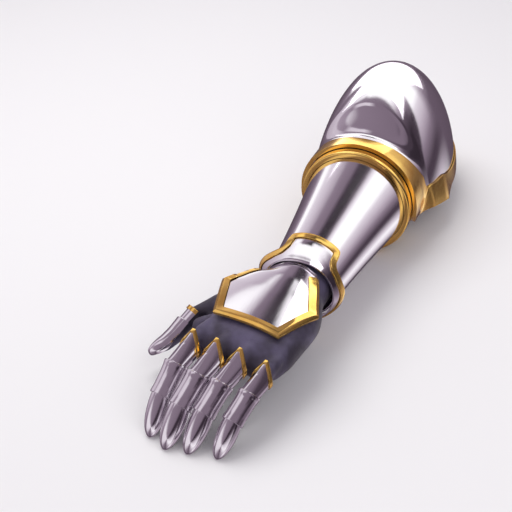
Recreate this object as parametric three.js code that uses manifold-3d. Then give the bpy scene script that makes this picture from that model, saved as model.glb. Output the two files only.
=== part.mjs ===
// Left-hand armoured gauntlet with an elbow cap, palm down, fingers along -Y, thumb along -X.
// Everything is first built round the forearm axis (wrist at the origin), then lifted so that
// the box of the whole thing stands on z = 0 with its middle on the Z axis. Millimetres, degrees.
import * as THREE from 'three';
import { mergeVertices } from 'three/addons/utils/BufferGeometryUtils.js';
import Module from 'manifold-3d';

const wasm = await Module();
wasm.setup();

// ---------- driving dimensions ----------
const GAP = 0.3; // between pieces that touch
const RING_SIDES = 36; // facets round the forearm

const SLEEVE = { front: -3, back: 152.5, frontRadius: 33.4, backRadius: 52.6, wall: 1.6 };
const LINING = { front: 14, back: 181, wall: 1.5, collar: 155, collarRadius: 53.6 };
const BAND = { front: 143, back: 152.8, radius: 57.2 };
const RIM = { front: 168, back: 183, radius: 57.2, lipRadius: 51 };

const CAP = { middleY: 247, middleZ: -27, halfWidth: 68.5, halfLength: 102, height: 126, wall: 1.8,
  sideGrowth: 9.5, topGrowth: 39, growth: 2.3, facets: 22 };
const COLLAR = { radius: 59.9, front: 154, back: 166.5, blendFrom: 172, blend: 24 };

const CUFF = { front: -10, wall: 1.5, roll: 13, flare: 1, thumbFlare: 5.5, trim: 6.5,
  flareTurn: 92, flareSpread: 30, flareRise: 13, steelBack: 1.2, meanRadius: 39, facet: 12 };
const HAND = { yaw: -10.7, pitch: 7 };
const PLATE = { wall: 1.6, trim: 8.5, foldDrop: 0.2, front: 90 };

const FINGER = { wall: 1.2, overlap: 1.5, wrap: 118, leather: 1.4 };
const LENGTH = [35, 28.4, 40]; // knuckle, middle and tip plates, for a finger of size 1

// where the knuckle's crest is (out to the pinky, reach to the fingertips, peak off the hand), and
// how far each plate turns aside and falls below the one behind it
const FINGERS = [
  { name: 'index', size: 0.96, out: -38.5, reach: 111, peak: 23.6,
    aside: [-5.1, 3.4, 2.9], fall: [11.4, 17.9, 12.7] },
  { name: 'middle', size: 1, out: -11.6, reach: 113, peak: 25.4,
    aside: [-6.8, 1, 1.6], fall: [12.6, 13.8, 14] },
  { name: 'ring', size: 0.96, out: 12.4, reach: 113, peak: 23.8,
    aside: [-8.8, 0.8, 0.1], fall: [13.2, 13.9, 14.7] },
  { name: 'little', size: 0.89, out: 37, reach: 112, peak: 18.4,
    aside: [-6.2, -0.8, -3.6], fall: [11, 13.8, 20.8] },
];

const LOOKS = {
  steel: { color: 0xc9c3cc, metalness: 1, roughness: 0.22 },
  gold: { color: 0xd9a43a, metalness: 1, roughness: 0.25 },
  leather: { color: 0x3d3648, metalness: 0, roughness: 0.55 },
};

// ---------- small helpers ----------
const rad = THREE.MathUtils.degToRad;
const mix = THREE.MathUtils.lerp;
const smooth = (t) => THREE.MathUtils.smoothstep(t, 0, 1);
const vec = (x, y, z) => new THREE.Vector3(x, y, z);
const range = (n) => Array.from({ length: n }, (_, i) => i);
const steps = (from, to, n) => range(n + 1).map((i) => mix(from, to, i / n));

// value of a column of a short table at x, straight between rows
function lookup(table, key, column, x) {
  const last = table.length - 1;
  let i = 0;
  while (i < last - 1 && x > table[i + 1][key]) i += 1;
  const a = table[i];
  const b = table[i + 1];
  const t = THREE.MathUtils.clamp((x - a[key]) / (b[key] - a[key]), 0, 1);
  return mix(a[column], b[column], t);
}

function piece(name, geometry, look) {
  const mesh = new THREE.Mesh(geometry, new THREE.MeshStandardMaterial(LOOKS[look]));
  mesh.name = name;
  return mesh;
}

function signedVolume(points, faces) {
  return faces.reduce((sum, [a, b, c]) => sum + points[a].dot(points[b].clone().cross(points[c])), 0);
}

function solidFrom(points, faces) {
  const turned = signedVolume(points, faces) < 0 ? faces.map(([a, b, c]) => [a, c, b]) : faces;
  const geometry = new THREE.BufferGeometry().setFromPoints(points);
  geometry.setIndex(turned.flat());
  return geometry;
}

// A walled skin between two grids of points [row][column]. ring joins the last row to the first,
// and tip draws the last column together to one point.
function skin(outer, inner, { ring = false, tip = false } = {}) {
  const rows = outer.length;
  const cols = outer[0].length;
  const points = [...outer.flat(), ...inner.flat()];
  const at = (side, i, j) => (side * rows + (tip && j === cols - 1 ? 0 : i % rows)) * cols + j;
  const faces = [];
  const quad = (a, b, c, d) => {
    if (a !== b) faces.push([a, b, c]);
    if (c !== d) faces.push([a, c, d]);
  };
  for (let i = 0; i < (ring ? rows : rows - 1); i += 1) {
    for (let j = 0; j < cols - 1; j += 1) {
      quad(at(0, i, j), at(0, i + 1, j), at(0, i + 1, j + 1), at(0, i, j + 1));
      quad(at(1, i, j), at(1, i, j + 1), at(1, i + 1, j + 1), at(1, i + 1, j));
    }
    quad(at(0, i, 0), at(1, i, 0), at(1, i + 1, 0), at(0, i + 1, 0));
    if (!tip) quad(at(0, i + 1, cols - 1), at(1, i + 1, cols - 1), at(1, i, cols - 1), at(0, i, cols - 1));
  }
  if (!ring) {
    for (let j = 0; j < cols - 1; j += 1) {
      quad(at(0, 0, j), at(0, 0, j + 1), at(1, 0, j + 1), at(1, 0, j));
      quad(at(0, rows - 1, j + 1), at(0, rows - 1, j), at(1, rows - 1, j), at(1, rows - 1, j + 1));
    }
  }
  return solidFrom(points, faces);
}

// A trim along an edge. Each station has at(share), the plate's surface from the edge (0) to the
// trim's far side (1), its length and the way out of the plate. Each profile row pairs a top and a
// base point as [mm from the edge, height, part of the way on to the far side]. lift raises a
// station's outer rows.
function band(stations, profile, options) {
  const place = (s, [reach, height, further = 0]) => {
    const share = mix(Math.min(reach / s.length, 1), 1, further);
    const raise = height > 0 ? s.lift ?? 0 : 0;
    return s.at(share).addScaledVector(s.out, height + raise * (1 - share));
  };
  const side = (key) => stations.map((s) => profile.map((row) => place(s, row[key])));
  return skin(side('top'), side('base'), options);
}

// station of a trim on the surface at(a, b), from one pair of surface values to another
function trimStation(at, from, to, out, lift = 0) {
  const along = (share) => at(mix(from[0], to[0], share), mix(from[1], to[1], share));
  return { at: along, length: along(0).distanceTo(along(1)), out, lift };
}

// closed solid through rings of points, with a middle point closing each end
function loft(rings) {
  const n = rings[0].length;
  const points = rings.flat();
  const faces = [];
  for (let k = 0; k < rings.length - 1; k += 1) {
    for (let i = 0; i < n; i += 1) {
      const a = k * n + i;
      const b = k * n + ((i + 1) % n);
      faces.push([a, b, b + n], [a, b + n, a + n]);
    }
  }
  for (const [start, flip] of [[0, true], [(rings.length - 1) * n, false]]) {
    const middle = range(n).reduce((sum, i) => sum.add(points[start + i]), vec(0, 0, 0)).divideScalar(n);
    const m = points.push(middle) - 1;
    for (let i = 0; i < n; i += 1) {
      const a = start + i;
      const b = start + ((i + 1) % n);
      faces.push(flip ? [m, b, a] : [m, a, b]);
    }
  }
  return solidFrom(points, faces);
}

function toManifold(geometry) {
  const merged = mergeVertices(geometry, 1e-4);
  return new wasm.Manifold(new wasm.Mesh({
    numProp: 3,
    vertProperties: new Float32Array(merged.attributes.position.array),
    triVerts: new Uint32Array(merged.index.array),
  }));
}

function fromManifold(solid) {
  const mesh = solid.getMesh();
  const geometry = new THREE.BufferGeometry();
  geometry.setAttribute('position', new THREE.BufferAttribute(new Float32Array(mesh.vertProperties), 3));
  geometry.setIndex(Array.from(mesh.triVerts));
  return geometry;
}

// ring turned round the forearm from a closed profile of [radius, y]
function turned(profile) {
  const points = [...profile, profile[0]].map(([r, y]) => new THREE.Vector2(r, y));
  return new THREE.LatheGeometry(points, RING_SIDES, Math.PI / RING_SIDES, 2 * Math.PI);
}

// ---------- forearm: sleeve, lining and the two rings ----------
const sleeveRadius = (y) =>
  mix(SLEEVE.frontRadius, SLEEVE.backRadius, (y - SLEEVE.front) / (SLEEVE.back - SLEEVE.front));

function sleeve() {
  const { front, back, wall } = SLEEVE;
  return piece('sleeve', turned([
    [sleeveRadius(front), front],
    [sleeveRadius(back), back],
    [sleeveRadius(back) - wall, back],
    [sleeveRadius(front) - wall, front],
  ]), 'steel');
}

// leather tube inside the sleeve that swells to a collar behind it
function sleeveLining() {
  const { front, back, wall, collar, collarRadius } = LINING;
  const inSleeve = (y) => sleeveRadius(y) - SLEEVE.wall - GAP;
  const end = SLEEVE.back + GAP;
  return piece('sleeve_lining', turned([
    [inSleeve(front), front],
    [inSleeve(end), end],
    [collarRadius, collar],
    [collarRadius, back],
    [collarRadius - wall, back],
    [collarRadius - wall, collar + 1],
    [inSleeve(end) - wall, end],
    [inSleeve(front) - wall, front],
  ]), 'leather');
}

function bandRing() {
  const { front, back, radius } = BAND;
  return piece('band_ring', turned([
    [sleeveRadius(front) + GAP, front],
    [radius - 1.2, front],
    [radius, front + 1.2],
    [radius, back - 0.8],
    [radius - 0.8, back],
    [sleeveRadius(back) + GAP, back],
  ]), 'gold');
}

function rimRing() {
  const { front, back, radius, lipRadius } = RIM;
  const inner = LINING.collarRadius + GAP;
  const lip = LINING.back + GAP;
  return piece('rim_ring', turned([
    [inner, front],
    [radius - 0.8, front],
    [radius, front + 0.8],
    [radius, back - 0.8],
    [radius - 0.8, back],
    [lipRadius, back],
    [lipRadius, lip],
    [inner, lip],
  ]), 'gold');
}

// ---------- elbow cap ----------
// Sections across the forearm are half ellipses standing on z = middleZ. They grow from the round
// collar to the widest station and shrink behind it as an ellipsoid does.
function capSize(y) {
  const front = Math.max((CAP.middleY - y) / (CAP.middleY - COLLAR.back), 0);
  const behind = Math.min(Math.max((y - CAP.middleY) / CAP.halfLength, 0), 1);
  const closing = Math.sqrt(1 - behind * behind);
  return {
    halfWidth: (CAP.halfWidth - CAP.sideGrowth * front ** CAP.growth) * closing,
    height: (CAP.height - CAP.topGrowth * front ** CAP.growth) * closing,
  };
}

// outer point of the cap at station y and angle beta from its pinky side over the top
function capAt(y, beta) {
  const { halfWidth, height } = capSize(y);
  const onCap = vec(halfWidth * Math.cos(beta), y, CAP.middleZ + height * Math.sin(beta));
  const low = Math.asin(CAP.middleZ / COLLAR.radius);
  const alpha = Math.PI / 2 + (beta - Math.PI / 2) * (1 - low / (Math.PI / 2));
  const onCollar = vec(COLLAR.radius * Math.cos(alpha), y, COLLAR.radius * Math.sin(alpha));
  return onCollar.lerp(onCap, smooth((y - COLLAR.blendFrom) / COLLAR.blend));
}

// the same surface behind the widest station, by plan angle theta (0 = pinky side, 90 = back)
function capBehind(theta, beta) {
  const across = Math.cos(beta);
  return vec(
    CAP.halfWidth * Math.cos(theta) * across,
    CAP.middleY + CAP.halfLength * Math.sin(theta) * across,
    CAP.middleZ + CAP.height * Math.sin(beta),
  );
}

function outwards(at, a, b) {
  const e = 1e-3;
  const du = at(a + e, b).sub(at(a - e, b));
  const dv = at(a, b + e).sub(at(a, b - e));
  return du.cross(dv).normalize();
}

// angle beta of the cap's lower edge at each station
const CAP_RIM = [
  { y: COLLAR.front, beta: 19 },
  { y: 160, beta: 8.5 },
  { y: 172, beta: 5.6 },
  { y: 190, beta: 5.4 },
  { y: 208, beta: 3 },
  { y: 226, beta: -0.2 },
  { y: 270, beta: 0.4 },
  { y: CAP.middleY + CAP.halfLength, beta: 0.4 },
];

function couter() {
  const stations = [
    ...[COLLAR.front, 160, COLLAR.back],
    ...[COLLAR.blendFrom, 178, 184, 190, 197, 208, 220, 233, CAP.middleY],
    ...steps(0, 90, 7).slice(1).map((t) => CAP.middleY + CAP.halfLength * Math.sin(rad(t))),
  ];
  const shell = (inset) => range(CAP.facets + 1).map((i) => stations.map((y, j) => {
    const last = j === stations.length - 1;
    if (last) return vec(0, y - inset, CAP.middleZ);
    const edge = rad(lookup(CAP_RIM, 'y', 'beta', y));
    const beta = mix(edge, Math.PI - edge, i / CAP.facets);
    return capAt(y, beta).addScaledVector(outwards(capAt, y, beta), -inset);
  }));
  return piece('couter', skin(shell(0), shell(CAP.wall), { tip: true }), 'steel');
}

// stations of the gold trim down the pinky side: edge and inset, each as station and angle
const CAP_TRIM = [
  { y: 153.2, beta: 22, insetY: 186, insetBeta: 21, lift: 0 },
  { y: 153.2, beta: 16, insetY: 189, insetBeta: 16.5, lift: 0 },
  { y: 153.6, beta: 12, insetY: 189, insetBeta: 16.4, lift: 0 },
  { y: 161, beta: 4, insetY: 189.2, insetBeta: 16.3, lift: 0 },
  { y: 172, beta: 3.4, insetY: 189.6, insetBeta: 16.1, lift: 0 },
  { y: 182, beta: 3.2, insetY: 191, insetBeta: 16, lift: 0 },
  { y: 190, beta: 2.6, insetY: 196, insetBeta: 15.1, lift: 0.8 },
  { y: 202, beta: 1, insetY: 205, insetBeta: 13.4, lift: 2 },
  { y: 226, beta: -1.6, insetY: 226, insetBeta: 11.4, lift: 5 },
  { y: 238, beta: -1.6, insetY: 238, insetBeta: 9, lift: 2 },
];

function capTrimStations() {
  const low = rad(116.8);
  const turnOf = (beta) => Math.max(low - beta * 1.298, 0); // angle from the top of the collar
  const insetY = (beta) => COLLAR.back + 0.5 + 21 * (turnOf(beta) / rad(88)) ** 1.8;
  const station = (from, to, lift) => {
    const middle = [mix(from[0], to[0], 0.4), mix(from[1], to[1], 0.4)];
    return trimStation(capAt, from, to, outwards(capAt, ...middle), lift);
  };
  const overTop = steps(90, 28, 8).map(rad).map((beta) =>
    station([153.2, beta], [insetY(beta), beta], 0));
  const side = CAP_TRIM.map((row) =>
    station([row.y, rad(row.beta)], [row.insetY, rad(row.insetBeta)], row.lift));
  const rear = steps(3, 90, 8).map(rad).map((theta) =>
    trimStation(capBehind, [theta, rad(-1)], [theta, rad(7.5)], outwards(capBehind, theta, rad(4))));
  const half = [...overTop, ...side, ...rear];
  const mirrored = half.slice(1, -1).reverse().map((s) => ({
    ...s,
    at: (share) => s.at(share).setX(-s.at(share).x),
    out: s.out.clone().setX(-s.out.x),
  }));
  return [...half, ...mirrored];
}

function couterTrim() {
  const profile = [
    { top: [0, -2.1], base: [0.8, -2.1] },
    { top: [0, 2], base: [0.8, 0.6] },
    { top: [6, 2.1], base: [6, 0.6] },
    { top: [6, 2, 0.35], base: [6, 0.6, 0.35] },
    { top: [6, 1.9, 0.7], base: [6, 0.6, 0.7] },
    { top: [6, 1.8, 1], base: [6, 0.6, 1] },
  ];
  return piece('couter_trim', band(capTrimStations(), profile, { ring: true }), 'gold');
}

// ---------- wrist cuff ----------
const CUFF_SHAPE = [
  { y: CUFF.front, radius: 35 },
  { y: -3, radius: 37 },
  { y: 6, radius: 38.4 },
  { y: 25, radius: 40.8 },
];

// rear edge of the cuff by angle from its middle line: a tab over the sleeve, notches, side lobes
const CUFF_EDGE = [
  { turn: 0, y: 22 },
  { turn: 20, y: 21.8 },
  { turn: 35, y: 21 },
  { turn: 38, y: 15 },
  { turn: 40, y: 7 },
  { turn: 46, y: 3 },
  { turn: 62, y: 2 },
  { turn: 85, y: 4.5 },
  { turn: 110, y: 3 },
  { turn: 140, y: 1 },
  { turn: 180, y: 1 },
];

function cuffAt(y, turn) {
  const most = turn < 0 ? CUFF.thumbFlare : CUFF.flare;
  const beside = (Math.abs(turn) - CUFF.flareTurn) / CUFF.flareSpread;
  const flare = most * Math.exp(-(beside ** 2)) * smooth((y - CUFF.front) / CUFF.flareRise);
  const radius = lookup(CUFF_SHAPE, 'y', 'radius', y) + flare;
  const a = rad(turn + CUFF.roll);
  return vec(radius * Math.sin(a), y, radius * Math.cos(a));
}

const cuffOut = (turn) => vec(Math.sin(rad(turn + CUFF.roll)), 0, Math.cos(rad(turn + CUFF.roll)));

// points of a flat path moved sideways by width, with mitred corners
function insetPath(path, width) {
  const last = path.length - 1;
  const side = (a, b) => new THREE.Vector2(b.y - a.y, a.x - b.x).normalize();
  return path.map((p, i) => {
    const one = i > 0 ? side(path[i - 1], p) : side(p, path[1]);
    const two = i < last ? side(p, path[i + 1]) : one;
    const mitre = one.clone().add(two).normalize();
    return p.clone().addScaledVector(mitre, width / Math.max(mitre.dot(one), 0.6));
  });
}

// the cuff's rear edge moved forward by width, as [turn, y] all the way round
function cuffPath(width) {
  const perDegree = rad(1) * CUFF.meanRadius;
  const knots = CUFF_EDGE.map((row) => row.turn);
  const turns = [...knots.map((turn) => turn - 360).slice(-2), ...knots.slice(1).map((turn) => -turn)
    .reverse(), ...knots, 220].flatMap((turn, i, all) => {
    const next = all[i + 1] ?? turn;
    return steps(turn, next, Math.max(Math.ceil((next - turn) / CUFF.facet), 1)).slice(0, -1);
  });
  const near = (turn) => Math.abs(turn > 180 ? turn - 360 : turn < -180 ? turn + 360 : turn);
  const path = turns.map((turn) =>
    new THREE.Vector2(turn * perDegree, lookup(CUFF_EDGE, 'turn', 'y', near(turn))));
  return insetPath(path, width)
    .map((p, i) => ({ turn: p.x / perDegree, y: p.y, knot: turns[i] }))
    .filter((p) => p.knot >= -180 && p.knot < 180);
}

function cuff() {
  const edge = cuffPath(CUFF.steelBack);
  const shell = (inset) => edge.map(({ turn, y }) => [0, 0.3, 0.6, 1].map((t) =>
    cuffAt(mix(CUFF.front, y, t), turn).addScaledVector(cuffOut(turn), -inset)));
  return piece('cuff', skin(shell(0), shell(CUFF.wall), { ring: true }), 'steel');
}

function cuffTrim() {
  const edge = cuffPath(0);
  const stations = cuffPath(CUFF.trim).map((inner, i) =>
    trimStation(cuffAt, [edge[i].y, edge[i].turn], [inner.y, inner.turn], cuffOut(edge[i].turn)));
  const profile = [
    { top: [0, -1.2], base: [0.7, -1.2] },
    { top: [0, 1.4], base: [0.7, 0.5] },
    { top: [0, 1.4, 1], base: [0, 0.5, 1] },
  ];
  return piece('cuff_trim', band(stations, profile, { ring: true }), 'gold');
}

// ---------- hand plate ----------
// In the hand's own frame: u to the pinky, v from the wrist to the fingers, h up off the hand.
const PLATE_SHAPE = [
  { v: 4, crown: 29.5, thumbHalf: 20, fold: 20, thumbArch: 0.0175, pinkyHalf: 22, pinkyArch: 0.0175 },
  { v: 14, crown: 30, thumbHalf: 28, fold: 25, thumbArch: 0.016, pinkyHalf: 28.5, pinkyArch: 0.0135 },
  { v: 25, crown: 30.5, thumbHalf: 40.5, fold: 34, thumbArch: 0.006, pinkyHalf: 35, pinkyArch: 0.011 },
  { v: 36, crown: 30.5, thumbHalf: 48, fold: 42.5, thumbArch: 0.004, pinkyHalf: 41, pinkyArch: 0.009 },
  { v: 46, crown: 30.5, thumbHalf: 54, fold: 60, thumbArch: 0.0029, pinkyHalf: 47, pinkyArch: 0.0075 },
  { v: PLATE.front, crown: 30, thumbHalf: 33, fold: 60, thumbArch: 0.0019, pinkyHalf: 35, pinkyArch: 0.0041 },
];

const PLATE_STATIONS = [4, 14, 20, 25, 36, 41, 46, 57, 68, 79, PLATE.front];
const plateHalf = (side, v) => lookup(PLATE_SHAPE, 'v', side < 0 ? 'thumbHalf' : 'pinkyHalf', v);

// the plate is arched, and near the wrist its thumb side folds down beyond u = -fold
function plateAt(u, v) {
  const arch = lookup(PLATE_SHAPE, 'v', u < 0 ? 'thumbArch' : 'pinkyArch', v);
  const past = Math.max(-u - lookup(PLATE_SHAPE, 'v', 'fold', v), 0);
  return vec(u, -v, lookup(PLATE_SHAPE, 'v', 'crown', v) - arch * u * u - PLATE.foldDrop * past * past);
}

const plateOut = (u, v) => outwards(plateAt, u, v).negate();

function handPlate() {
  const edge = 1.2;
  const stations = [...PLATE_STATIONS.slice(0, -1), PLATE.front - edge];
  const columns = stations.map((v) => {
    const thumb = -(plateHalf(-1, v) - edge);
    const fold = -Math.min(lookup(PLATE_SHAPE, 'v', 'fold', v), plateHalf(-1, v) - 4);
    return [...steps(thumb, fold, 2), fold / 2, ...steps(0, plateHalf(1, v) - edge, 3)];
  });
  const shell = (inset) => range(columns[0].length).map((i) => stations.map((v, j) =>
    plateAt(columns[j][i], v).addScaledVector(plateOut(columns[j][i], v), -inset)));
  return piece('hand_plate', skin(shell(0), shell(PLATE.wall)), 'steel');
}

function handPlateTrim() {
  const side = (sign, from) => [from, ...PLATE_STATIONS.filter((v) => v > from + 2)].map((v) =>
    new THREE.Vector2(sign * plateHalf(sign, v), v));
  const front = steps(plateHalf(1, PLATE.front), -plateHalf(-1, PLATE.front), 6)
    .map((u) => new THREE.Vector2(u, PLATE.front));
  const path = [...side(1, 9), ...front.slice(1, -1), ...side(-1, 17.5).reverse()];
  const stations = insetPath(path, -PLATE.trim).map((inner, i) => {
    const out = plateOut(mix(path[i].x, inner.x, 0.3), mix(path[i].y, inner.y, 0.3));
    return trimStation(plateAt, [path[i].x, path[i].y], [inner.x, inner.y], out);
  });
  const profile = [
    { top: [0, -1.9], base: [0.8, -1.9] },
    { top: [0, 1.1], base: [0.8, 0.6] },
    { top: [3.6, 2.6], base: [3.6, 0.9] },
    { top: [3.6, 1.9, 0.5], base: [3.6, 0.9, 0.5] },
    { top: [3.6, 1.2, 1], base: [3.6, 0.6, 1] },
  ];
  return piece('hand_plate_trim', band(stations, profile), 'gold');
}

// ---------- fingers ----------
// Each plate has its own frame: x to the pinky, -y to the fingertip, z off the back of the finger.
const round = (radius, turn) => vec(radius * Math.sin(rad(turn)), 0, radius * Math.cos(rad(turn)));
const along = (p, x) => p.clone().setY(-x);
const thinner = (p, wall) => {
  const r = Math.hypot(p.x, p.z);
  return vec(p.x * (1 - wall / r), p.y, p.z * (1 - wall / r));
};

// half of a knuckle plate's section, from the crest down: across and up at its rear edge, how far
// forward that edge is cut back, and the turn of the same point in the round front section
const KNUCKLE = [
  { across: 1.6, up: 12.4, cut: 0, turn: 9 },
  { across: 4.9, up: 8.6, cut: 3.8, turn: 32 },
  { across: 8.2, up: 4.8, cut: 8, turn: 56 },
  { across: 10.6, up: 0.4, cut: 11.5, turn: 84 },
  { across: 10.2, up: -5, cut: 13, turn: 105 },
  { across: 7.8, up: -8, cut: 13.5, turn: 125 },
];
const KNUCKLE_FRONT = 9.5;

// points of the knuckle section at distance x from its crest, thumb side first
function knuckleRows() {
  const half = (side) => KNUCKLE.map((row) => ({ ...row, side }));
  return [...half(-1).reverse(), ...half(1)];
}

function knuckleAt(row, x, length) {
  const t = Math.max(x / length, 0) ** 1.3;
  const rear = vec(row.side * row.across, 0, row.up);
  return along(rear.lerp(round(KNUCKLE_FRONT, row.side * row.turn), t), x);
}

function knucklePlate(name, size) {
  const front = LENGTH[0] + FINGER.overlap;
  const shell = (wall) => knuckleRows().map((row) => [0, 0.3, 0.65, 1].map((t) => {
    const x = mix(row.cut + 1, front, t);
    return thinner(knuckleAt(row, x, front), wall).multiplyScalar(size);
  }));
  return piece(`knuckle_plate_${name}`, skin(shell(0), shell(FINGER.wall / size)), 'steel');
}

function knuckleTrim(name, size) {
  const front = LENGTH[0] + FINGER.overlap;
  const stations = knuckleRows().map((row) => {
    const at = (share) => knuckleAt(row, row.cut + 4.2 * share, front).multiplyScalar(size);
    const edge = at(0);
    return { at, length: edge.distanceTo(at(1)), out: edge.setY(0).normalize() };
  });
  const profile = [
    { top: [0, -1.2], base: [0.6, -1.2] },
    { top: [0, 1.2], base: [0.6, 0.35] },
    { top: [0, 1.2, 1], base: [0, 0.35, 1] },
  ];
  return piece(`knuckle_trim_${name}`, band(stations, profile), 'gold');
}

// middle plate: a rolled bead over the knuckle plate, a waist, and a flare over the tip plate
const MIDDLE = [
  { x: -2.2, radius: 10.9, bore: 10.4 },
  { x: -1.2, radius: 11.2, bore: 10.4 },
  { x: 0.6, radius: 11.1, bore: 10.1 },
  { x: 3.5, radius: 10.4, bore: 9.3 },
  { x: 12, radius: 9.9, bore: 8.7 },
  { x: 21, radius: 9.9, bore: 8.7 },
  { x: 26, radius: 10.3, bore: 9.4 },
  { x: 29.8, radius: 10.6, bore: 9.8 },
];

// tip plate: a long hood that closes over the fingertip
const TIP = [
  { x: -3, radius: 8.6 },
  { x: 3, radius: 9.2 },
  { x: 11, radius: 9.4 },
  { x: 20, radius: 8.9 },
  { x: 28, radius: 7.6 },
  { x: 34.5, radius: 5.5 },
  { x: 38.5, radius: 2.9 },
  { x: 40, radius: 0 },
];

const WRAP = steps(-FINGER.wrap, FINGER.wrap, 10);

function middlePlate(name, size) {
  const shell = (key) => WRAP.map((turn) => MIDDLE.map((row) =>
    along(round(row[key], turn), row.x).multiplyScalar(size)));
  return piece(`finger_mid_${name}`, skin(shell('radius'), shell('bore')), 'steel');
}

// hood over a fingertip; a row can have its own wrap and be swept aside, for a bent thumb
function hood(name, rows, size) {
  const last = rows.length - 1;
  const shell = (wall) => steps(-1, 1, 10).map((share) => rows.map((row, j) => {
    const turn = share * (row.wrap ?? FINGER.wrap);
    const x = row.x - wall * Math.max(j / last - 0.4, 0) * 1.7;
    return along(round(j === last ? 0 : row.radius - wall, turn), x)
      .add(round(row.sweep ?? 0, THUMB.sweepTurn))
      .multiplyScalar(size);
  }));
  return piece(name, skin(shell(0), shell(FINGER.wall), { tip: true }), 'steel');
}

// nested frames of a finger: knuckle, middle and tip, each turned down on the one behind
function fingerFrames(finger) {
  const knuckle = new THREE.Group();
  const size = finger.size;
  const crest = KNUCKLE[0].up * size;
  const pitch = rad(finger.fall[0]);
  knuckle.position.set(
    finger.out,
    -(finger.reach - crest * Math.sin(pitch)),
    finger.peak - crest * Math.cos(pitch),
  );
  const middle = new THREE.Group();
  middle.position.set(0, -LENGTH[0] * size, 0);
  const tip = new THREE.Group();
  tip.position.set(0, -LENGTH[1] * size, 0);
  [knuckle, middle, tip].forEach((plate, i) => {
    plate.rotation.set(rad(finger.fall[i]), 0, rad(finger.aside[i]), 'ZYX');
  });
  knuckle.add(middle);
  middle.add(tip);
  return { knuckle, middle, tip };
}

// ---------- thumb ----------
const THUMB = { u: -70.4, v: 70.3, h: -4, length: 17, roll: -43, sweepTurn: -47, wrap: 85 };
const THUMB_TURNS = [
  { yaw: -18, pitch: 21 },
  { yaw: -10, pitch: 13 },
];

const THUMB_PLATE = [
  { x: 0.8, radius: 9.3, bore: 8.2 },
  { x: 7, radius: 9.1, bore: 8 },
  { x: 13, radius: 8.9, bore: 7.8 },
  { x: 20, radius: 8.6, bore: 7.5 },
];
const THUMB_TIP = [
  { x: -1.5, radius: 10.8, wrap: 85 },
  { x: 3, radius: 10.4, wrap: 85 },
  { x: 12, radius: 9.7, wrap: 90, sweep: 0.3 },
  { x: 21, radius: 9.3, wrap: 104, sweep: 1.4 },
  { x: 28, radius: 8.8, wrap: 116, sweep: 3.2 },
  { x: 34, radius: 7.3, wrap: 122, sweep: 5.4 },
  { x: 38.5, radius: 4.6, wrap: 122, sweep: 7.3 },
  { x: 40.5, radius: 0, wrap: 122, sweep: 8.2 },
];

// frames of the thumb's two plates: x across, -y to the tip, z off the back of the thumb
function thumbFrames() {
  const [base, tip] = THUMB_TURNS.map(({ yaw, pitch }) => {
    const frame = new THREE.Group();
    frame.rotation.set(rad(pitch), rad(THUMB.roll), rad(yaw), 'ZXY');
    return frame;
  });
  base.position.set(THUMB.u, -THUMB.v, THUMB.h);
  tip.position.set(0, -THUMB.length, 0).applyEuler(base.rotation).add(base.position);
  return { base, tip };
}

const THUMB_WRAP = steps(-THUMB.wrap, THUMB.wrap, 8);

function thumbPlate() {
  const shell = (key) => THUMB_WRAP.map((turn) => THUMB_PLATE.map((row) =>
    along(round(row[key], turn), row.x)));
  return piece('thumb_plate', skin(shell('radius'), shell('bore')), 'steel');
}

function thumbTrim() {
  const radius = THUMB_PLATE[0].radius;
  const stations = THUMB_WRAP.map((turn) => ({
    at: (share) => along(round(radius, turn), 4 * share),
    length: 4,
    out: round(1, turn),
  }));
  const profile = [
    { top: [0, -0.9], base: [0.5, -0.9] },
    { top: [0, 1.3], base: [0.5, 0.4] },
    { top: [0, 1.3, 1], base: [0, 0.4, 1] },
  ];
  return piece('thumb_trim', band(stations, profile), 'gold');
}

// ---------- leather glove ----------
// sections of the hand, wrist to knuckles: middle, half width, height of back and depth of palm
const GLOVE = [
  { v: -24, middle: -4.4, half: 29, back: 26, palm: 31 },
  { v: 0, middle: 0, half: 26.5, back: 25.5, palm: 26 },
  { v: 12, middle: 0, half: 27, back: 25.5, palm: 25.5 },
  { v: 28, middle: -1, half: 38, back: 26, palm: 24 },
  { v: 48, middle: -1, half: 45, back: 26.5, palm: 21.5 },
  { v: 72, middle: -1, half: 47, back: 26.5, palm: 18 },
  { v: 94, middle: 0, half: 46.5, back: 24, palm: 14 },
  { v: 106, middle: -1, half: 45.5, back: 19, palm: 11 },
  { v: 112, middle: -1, half: 44, back: 14, palm: 9.5 },
  { v: 116, middle: -1, half: 41, back: 9, palm: 7.5 },
];

function gloveRing(row, wall) {
  const power = row.v < 15 ? 1 : 0.82;
  const shaped = (c) => Math.sign(c) * Math.abs(c) ** power;
  return steps(0, 360, 20).slice(0, -1).map((turn) => {
    const [c, s] = [Math.cos(rad(turn)), Math.sin(rad(turn))];
    const height = s > 0 ? row.back - wall : row.palm - wall;
    return vec(row.middle + (row.half - wall) * shaped(c), -row.v, height * shaped(s));
  });
}

function palmBody(wall) {
  const rows = GLOVE.map((row, i) => {
    const v = wall > 0 && i === 0 ? row.v - 2 : Math.min(row.v, GLOVE[GLOVE.length - 1].v - wall);
    return { ...row, v };
  });
  return loft(rows.map((row) => gloveRing(row, wall)));
}

// tube of round sections: where each is, which way it looks and its radius
function tube(sections, wall) {
  const sides = 10;
  return loft(sections.map(({ matrix, x, radius, tilt = 0 }) => range(sides).map((i) => {
    const p = round(Math.max(radius - wall, 0.8), (i * 360) / sides);
    const lean = p.z * Math.tan(rad(tilt));
    return along(p, x + lean).applyMatrix4(matrix);
  })));
}

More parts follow.
